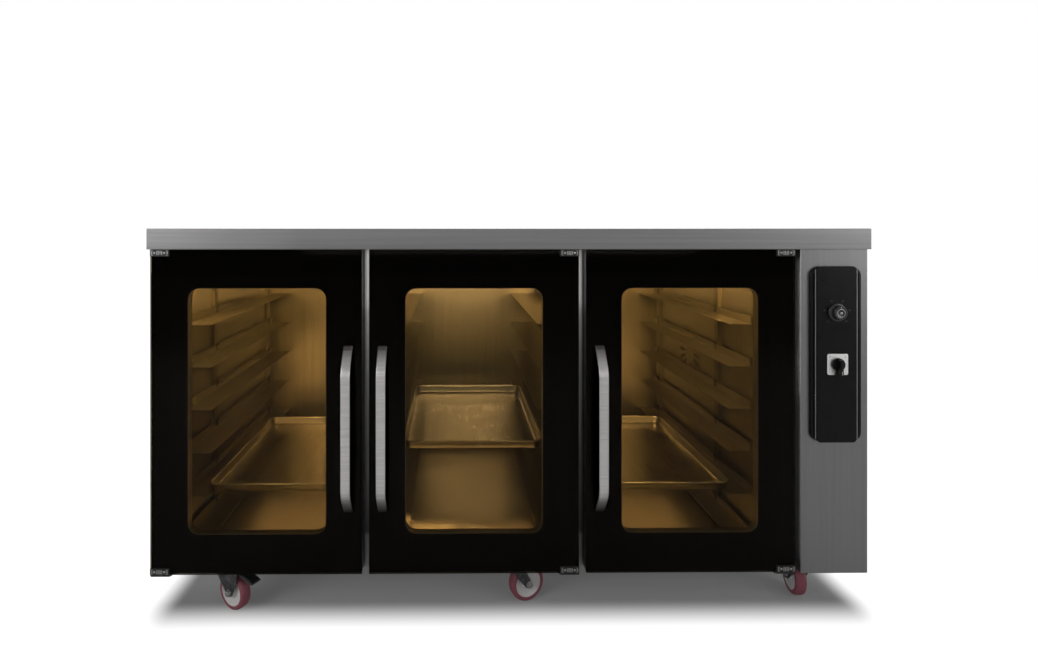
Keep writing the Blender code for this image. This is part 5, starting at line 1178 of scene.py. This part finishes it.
low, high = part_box("light_bar")
lamp = {"wall": 0.0016, "lens": 0.0095, "cap": 0.005, "channel": 0.0055}
wall, edge = lamp["wall"], low.z + lamp["channel"]
left, right = low.x + lamp["cap"], high.x - lamp["cap"]
shape = bmesh.new()
middle, split = (low.y + high.y) / 2, low.z + lamp["lens"]
half = (high.y - low.y) / 2 - wall - 0.0004
belly = [(0.5 * half, low.z + 0.0004), (0.78 * half, low.z + 0.0016), (0.94 * half, low.z + 0.0048),
         (half, split), (half, split + 0.003)]
outline = [(-u, v) for u, v in reversed(belly)] + [(0, low.z)] + belly
addPrism(shape, [(middle + u, v) for u, v in outline], left, right, alongX)
showPiece("lightLens", shape, lensOpal, replaced="light_bar", smooth=50)
shape = bmesh.new()
outline = [(low.y, edge), (low.y + wall, edge), (low.y + wall, high.z - wall),
           (high.y - wall, high.z - wall), (high.y - wall, edge), (high.y, edge), (high.y, high.z),
           (low.y, high.z)]
addPrism(shape, outline, left, right, alongX)
showPiece("lightChannel", shape, trayAluminium, bevel=0.0003)
shape = bmesh.new()
outline = roundedRect(high.y - low.y, high.z - low.z - 0.0004, 0.003, (middle, (low.z + high.z) / 2), 5)
for start, stop in ((low.x, left), (right, high.x)):
    addPrism(shape, outline, start, stop, alongX)
showPiece("lightEnds", shape, hubPlastic, bevel=0.0006)
print("light bar made")


# racks: folded clips that hold each slide on its upright, with a screw in each

rack = {"levels": 6, "first": 0.182, "spacing": 0.118, "rise": 0.0125, "uprights": (-0.131, 0.389),
        "sheet": 0.0020, "clip": (0.008, 0.0022, 0.014), "hook": 0.004, "hookSheet": 0.0016, "screw": 0.0034,
        # x of each face that carries slides, and the way from there into the bay
        "faces": {"left": ((-0.8927, 1),), "mullion_left": ((-0.387, -1), (-0.375, 1)),
                  "mullion_right": ((0.183, -1), (0.195, 1)), "right": ((0.6777, -1),)}}
wide, thick, tall = rack["clip"]
for name, faces in rack["faces"].items():
    shape = bmesh.new()
    screws = bmesh.new()
    for face, toBay in faces:
        x = face + toBay * rack["sheet"]
        outer = x + toBay * thick
        hook = outer + toBay * rack["hook"]
        for level in range(rack["levels"]):
            z = rack["first"] + level * rack["spacing"] + rack["rise"]
            for y in rack["uprights"]:
                addBox(shape, (min(x, outer), y - wide, z - tall / 2), (max(x, outer), y + wide, z + tall))
                addBox(shape, (min(outer, hook), y - wide, z + tall - rack["hookSheet"]),
                       (max(outer, hook), y + wide, z + tall))
                place = facing((toBay, 0, 0), (outer, y, z + 0.0015))
                addScrew(screws, place, rack["screw"], 0.0016, 40 * level)
    showPiece("rackClips_" + name, shape, forkSteel, bevel=0.0005)
    showPiece("rackScrews_" + name, screws, screwSteel, smooth=50)
print("rack clips made")


# fan guard: pressed rim round the slots and its screws

low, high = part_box("fan_guard")
guard = {"rim": 0.0055, "raise": 0.0012, "screws": 6, "screw": 0.0036, "screwInset": 0.0050}
guardPlace = facing((-1, 0, 0), (low.x, (low.y + high.y) / 2, (low.z + high.z) / 2))
shape = bmesh.new()
radius, top = (high.z - low.z) / 2, guard["raise"]
inner = radius - guard["rim"]
addTurned(shape, [(radius, -0.0008), (radius, 0.0004), (radius - 0.0012, top), (inner + 0.0012, top),
                  (inner, 0.0004), (inner, -0.0008)], guardPlace, 72, closed=True)
showPiece("guardRim", shape, baySteel, smooth=50)
shape = bmesh.new()
for i in range(guard["screws"]):
    turn = guardPlace @ Matrix.Rotation(math.tau * (i + 0.5) / guard["screws"], 4, "Z")
    place = turn @ Matrix.Translation((inner - guard["screwInset"], 0, 0))
    addScrew(shape, place, guard["screw"], 0.0018, 30 * i)
showPiece("guardScrews", shape, screwSteel, smooth=50)
print("fan guard dressed")


# back: structural panel, main sheet and service sheet with vents, gland and water inlet

rear = {"core": 0.4500, "face": 0.4870, "sheet": 0.0012, "left": -0.9445, "right": 0.9445, "low": 0.1305,
        "high": 0.9890, "gap": 0.0020, "edge": 0.004, "join": 0.765, "x": 0.8555, "ventLow": 0.820,
        "ventSpacing": 0.018, "ventHigh": 0.007, "ventWide": 0.090, "vents": 7,
        "inlet": (0.8555, 0.230, 0.0115), "gland": (0.7955, 0.230, 0.0120),
        "screw": 0.0042, "screwX": 0.012, "screwZ": 0.016, "screwPitch": 0.20}


# sheet cut from outlines, the first one its edge and the others its holes
def cutSheet(outlines, low, high):
    curve = bpy.data.curves.new("sheetOutline", "CURVE")
    curve.dimensions = "2D"
    curve.fill_mode = "BOTH"
    curve.extrude = (high - low) / 2
    for outline in outlines:
        spline = curve.splines.new("POLY")
        spline.points.add(len(outline) - 1)
        for point, (x, y) in zip(spline.points, outline):
            point.co = (x, y, 0, 1)
        spline.use_cyclic_u = True
    mesh = meshFrom("sheetOutline", curve)
    shape = bmesh.new()
    shape.from_mesh(mesh)
    bpy.data.meshes.remove(mesh)
    place = alongY @ Matrix.Translation((0, 0, (low + high) / 2))
    bmesh.ops.transform(shape, matrix=place, verts=shape.verts)
    bmesh.ops.remove_doubles(shape, verts=shape.verts, dist=0.00002)
    return shape


def rectangle(left, right, low, high, radius=0.0015):
    return roundedRect(right - left, high - low, radius, ((left + right) / 2, (low + high) / 2), 4)


ventSpan = rear["x"] - rear["ventWide"] / 2, rear["x"] + rear["ventWide"] / 2
ventLows = [rear["ventLow"] + i * rear["ventSpacing"] for i in range(rear["vents"])]
vents = [rectangle(*ventSpan, z, z + rear["ventHigh"], 0.0034) for z in ventLows]
holes = [polygon(radius, 32, x, z) for x, z, radius in (rear["inlet"], rear["gland"])]
rim = rectangle(rear["left"], rear["right"], rear["low"], rear["high"])
showPiece("backPanelCore", cutSheet([rim, *vents, *holes], rear["core"], rear["face"]), sheetSteel,
          replaced="back_panel")
outer, edge = rear["face"] + rear["sheet"], rear["edge"]
sheets = {
    "backSheetMain": (rear["left"] + edge, rear["join"] - rear["gap"] / 2, []),
    "backSheetService": (rear["join"] + rear["gap"] / 2, rear["right"] - edge, vents + holes),
}
for name, (left, right, openings) in sheets.items():
    rim = rectangle(left, right, rear["low"] + edge, rear["high"] - edge, 0.003)
    showPiece(name, cutSheet([rim, *openings], rear["face"] + 0.0001, outer), sheetSteel)
shape = bmesh.new()  # pan head screws round both sheets
low, high = rear["low"] + rear["screwZ"], rear["high"] - rear["screwZ"]
for start, stop, _ in sheets.values():
    left, right = start + rear["screwX"], stop - rear["screwX"]
    across = max(1, round((stop - start) / rear["screwPitch"]))
    spots = [(left + (right - left) * i / across, z) for i in range(across + 1) for z in (low, high)]
    spots += [(x, low + (high - low) * i / 4) for i in (1, 2, 3) for x in (left, right)]
    for n, (x, z) in enumerate(spots):
        addScrew(shape, facing((0, 1, 0), (x, outer, z)), rear["screw"], 0.0017, 23 * n)
showPiece("backScrews", shape, screwSteel, smooth=50)
shape = bmesh.new()  # louvre blades that slope inwards behind each vent
for z in ventLows:
    top = z + rear["ventHigh"]
    outline = [(0.4868, top), (0.4860, top + 0.0008), (0.4740, z - 0.0002), (0.4746, z - 0.0012)]
    addPrism(shape, outline, *ventSpan, alongX)
showPiece("ventLouvres", shape, sheetSteel)


# cable gland with its locknut, steam boiler, and the brass stub of the water inlet

# flat hexagon nut with a round hole
def addNut(shape, hole, high, place, radius=0.0145):
    corners = [Vector(corner) for corner in polygon(radius, 6)]
    outer = []
    for corner, after in zip(corners, corners[1:] + corners[:1]):
        outer += [corner, (corner + after) / 2]
    addFrame(shape, outer, polygon(hole, 12), 0, high, place)


x, z, _ = rear["gland"]
glandPlace = facing((0, 1, 0), (x, outer, z), 12)
shape = bmesh.new()
addNut(shape, 0.0090, 0.0014, glandPlace)
showPiece("glandNut", shape, glandNylon, bevel=0.0003)
shape = bmesh.new()
addTurned(shape, [(0.0050, 0.0012), (0.0078, 0.0017), (0.0094, 0.0014), (0.0100, 0.0004), (0.0108, -0.0060),
                  (0.0108, -0.0480), (0.0052, -0.0480)], glandPlace, 40, closed=True)
showPiece("cableGland", shape, glandNylon, replaced="mains_gland", smooth=40)

tank = {"x": 0.8555, "y": 0.290, "radius": 0.060, "low": 0.1703, "high": 0.4103, "pipe": 0.0088,
        "pipeEnd": 0.6905, "drop": 0.040, "rings": (0.012, 0.210)}
tankPlace = Matrix.Translation((tank["x"], tank["y"], tank["low"]))
tall, wide = tank["high"] - tank["low"], tank["radius"]
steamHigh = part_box("steam_boiler")[0].z + tall - tank["drop"]
shape = bmesh.new()
addTurned(shape, [(0, 0), (0.054, 0), (0.0585, 0.0012), (wide, 0.0050), (wide, tall - 0.018),
                  (0.0575, tall - 0.009), (0.050, tall - 0.003), (0.036, tall - 0.0004), (0, tall)],
          tankPlace, 64)
for low in tank["rings"]:
    addTurned(shape, [(0.0592, low), (0.0597, low + 0.0016), (0.0602, low + 0.0030), (0.0597, low + 0.0044),
                      (0.0592, low + 0.0060)], tankPlace, 64, closed=True)
showPiece("boilerTank", shape, baySteel, replaced="steam_boiler", smooth=40)
shape = bmesh.new()
path = [(tank["pipeEnd"], tank["y"], steamHigh), (tank["x"] - 0.055, tank["y"], steamHigh)]
addTube(shape, path, tank["pipe"], 24)
showPiece("steamPipe", shape, baySteel, smooth=60)

x, z, _ = rear["inlet"]
inletPlace = facing((0, 1, 0), (x, outer, z))
shape = bmesh.new()
addTurned(shape, [(0.0068, -0.1445), (0.0098, -0.1445), (0.0098, 0.0012), (0.0092, 0.0017), (0.0074, 0.0017),
                  (0.0068, 0.0011)], inletPlace, 40, closed=True)
addTurned(shape, [(0, -0.0105), (0.0070, -0.0105), (0.0070, -0.0120), (0, -0.0120)], inletPlace, 32)
addNut(shape, 0.0097, 0.0012, inletPlace)
showPiece("waterInlet", shape, inletBrass, smooth=40)
print("back and service fittings made")
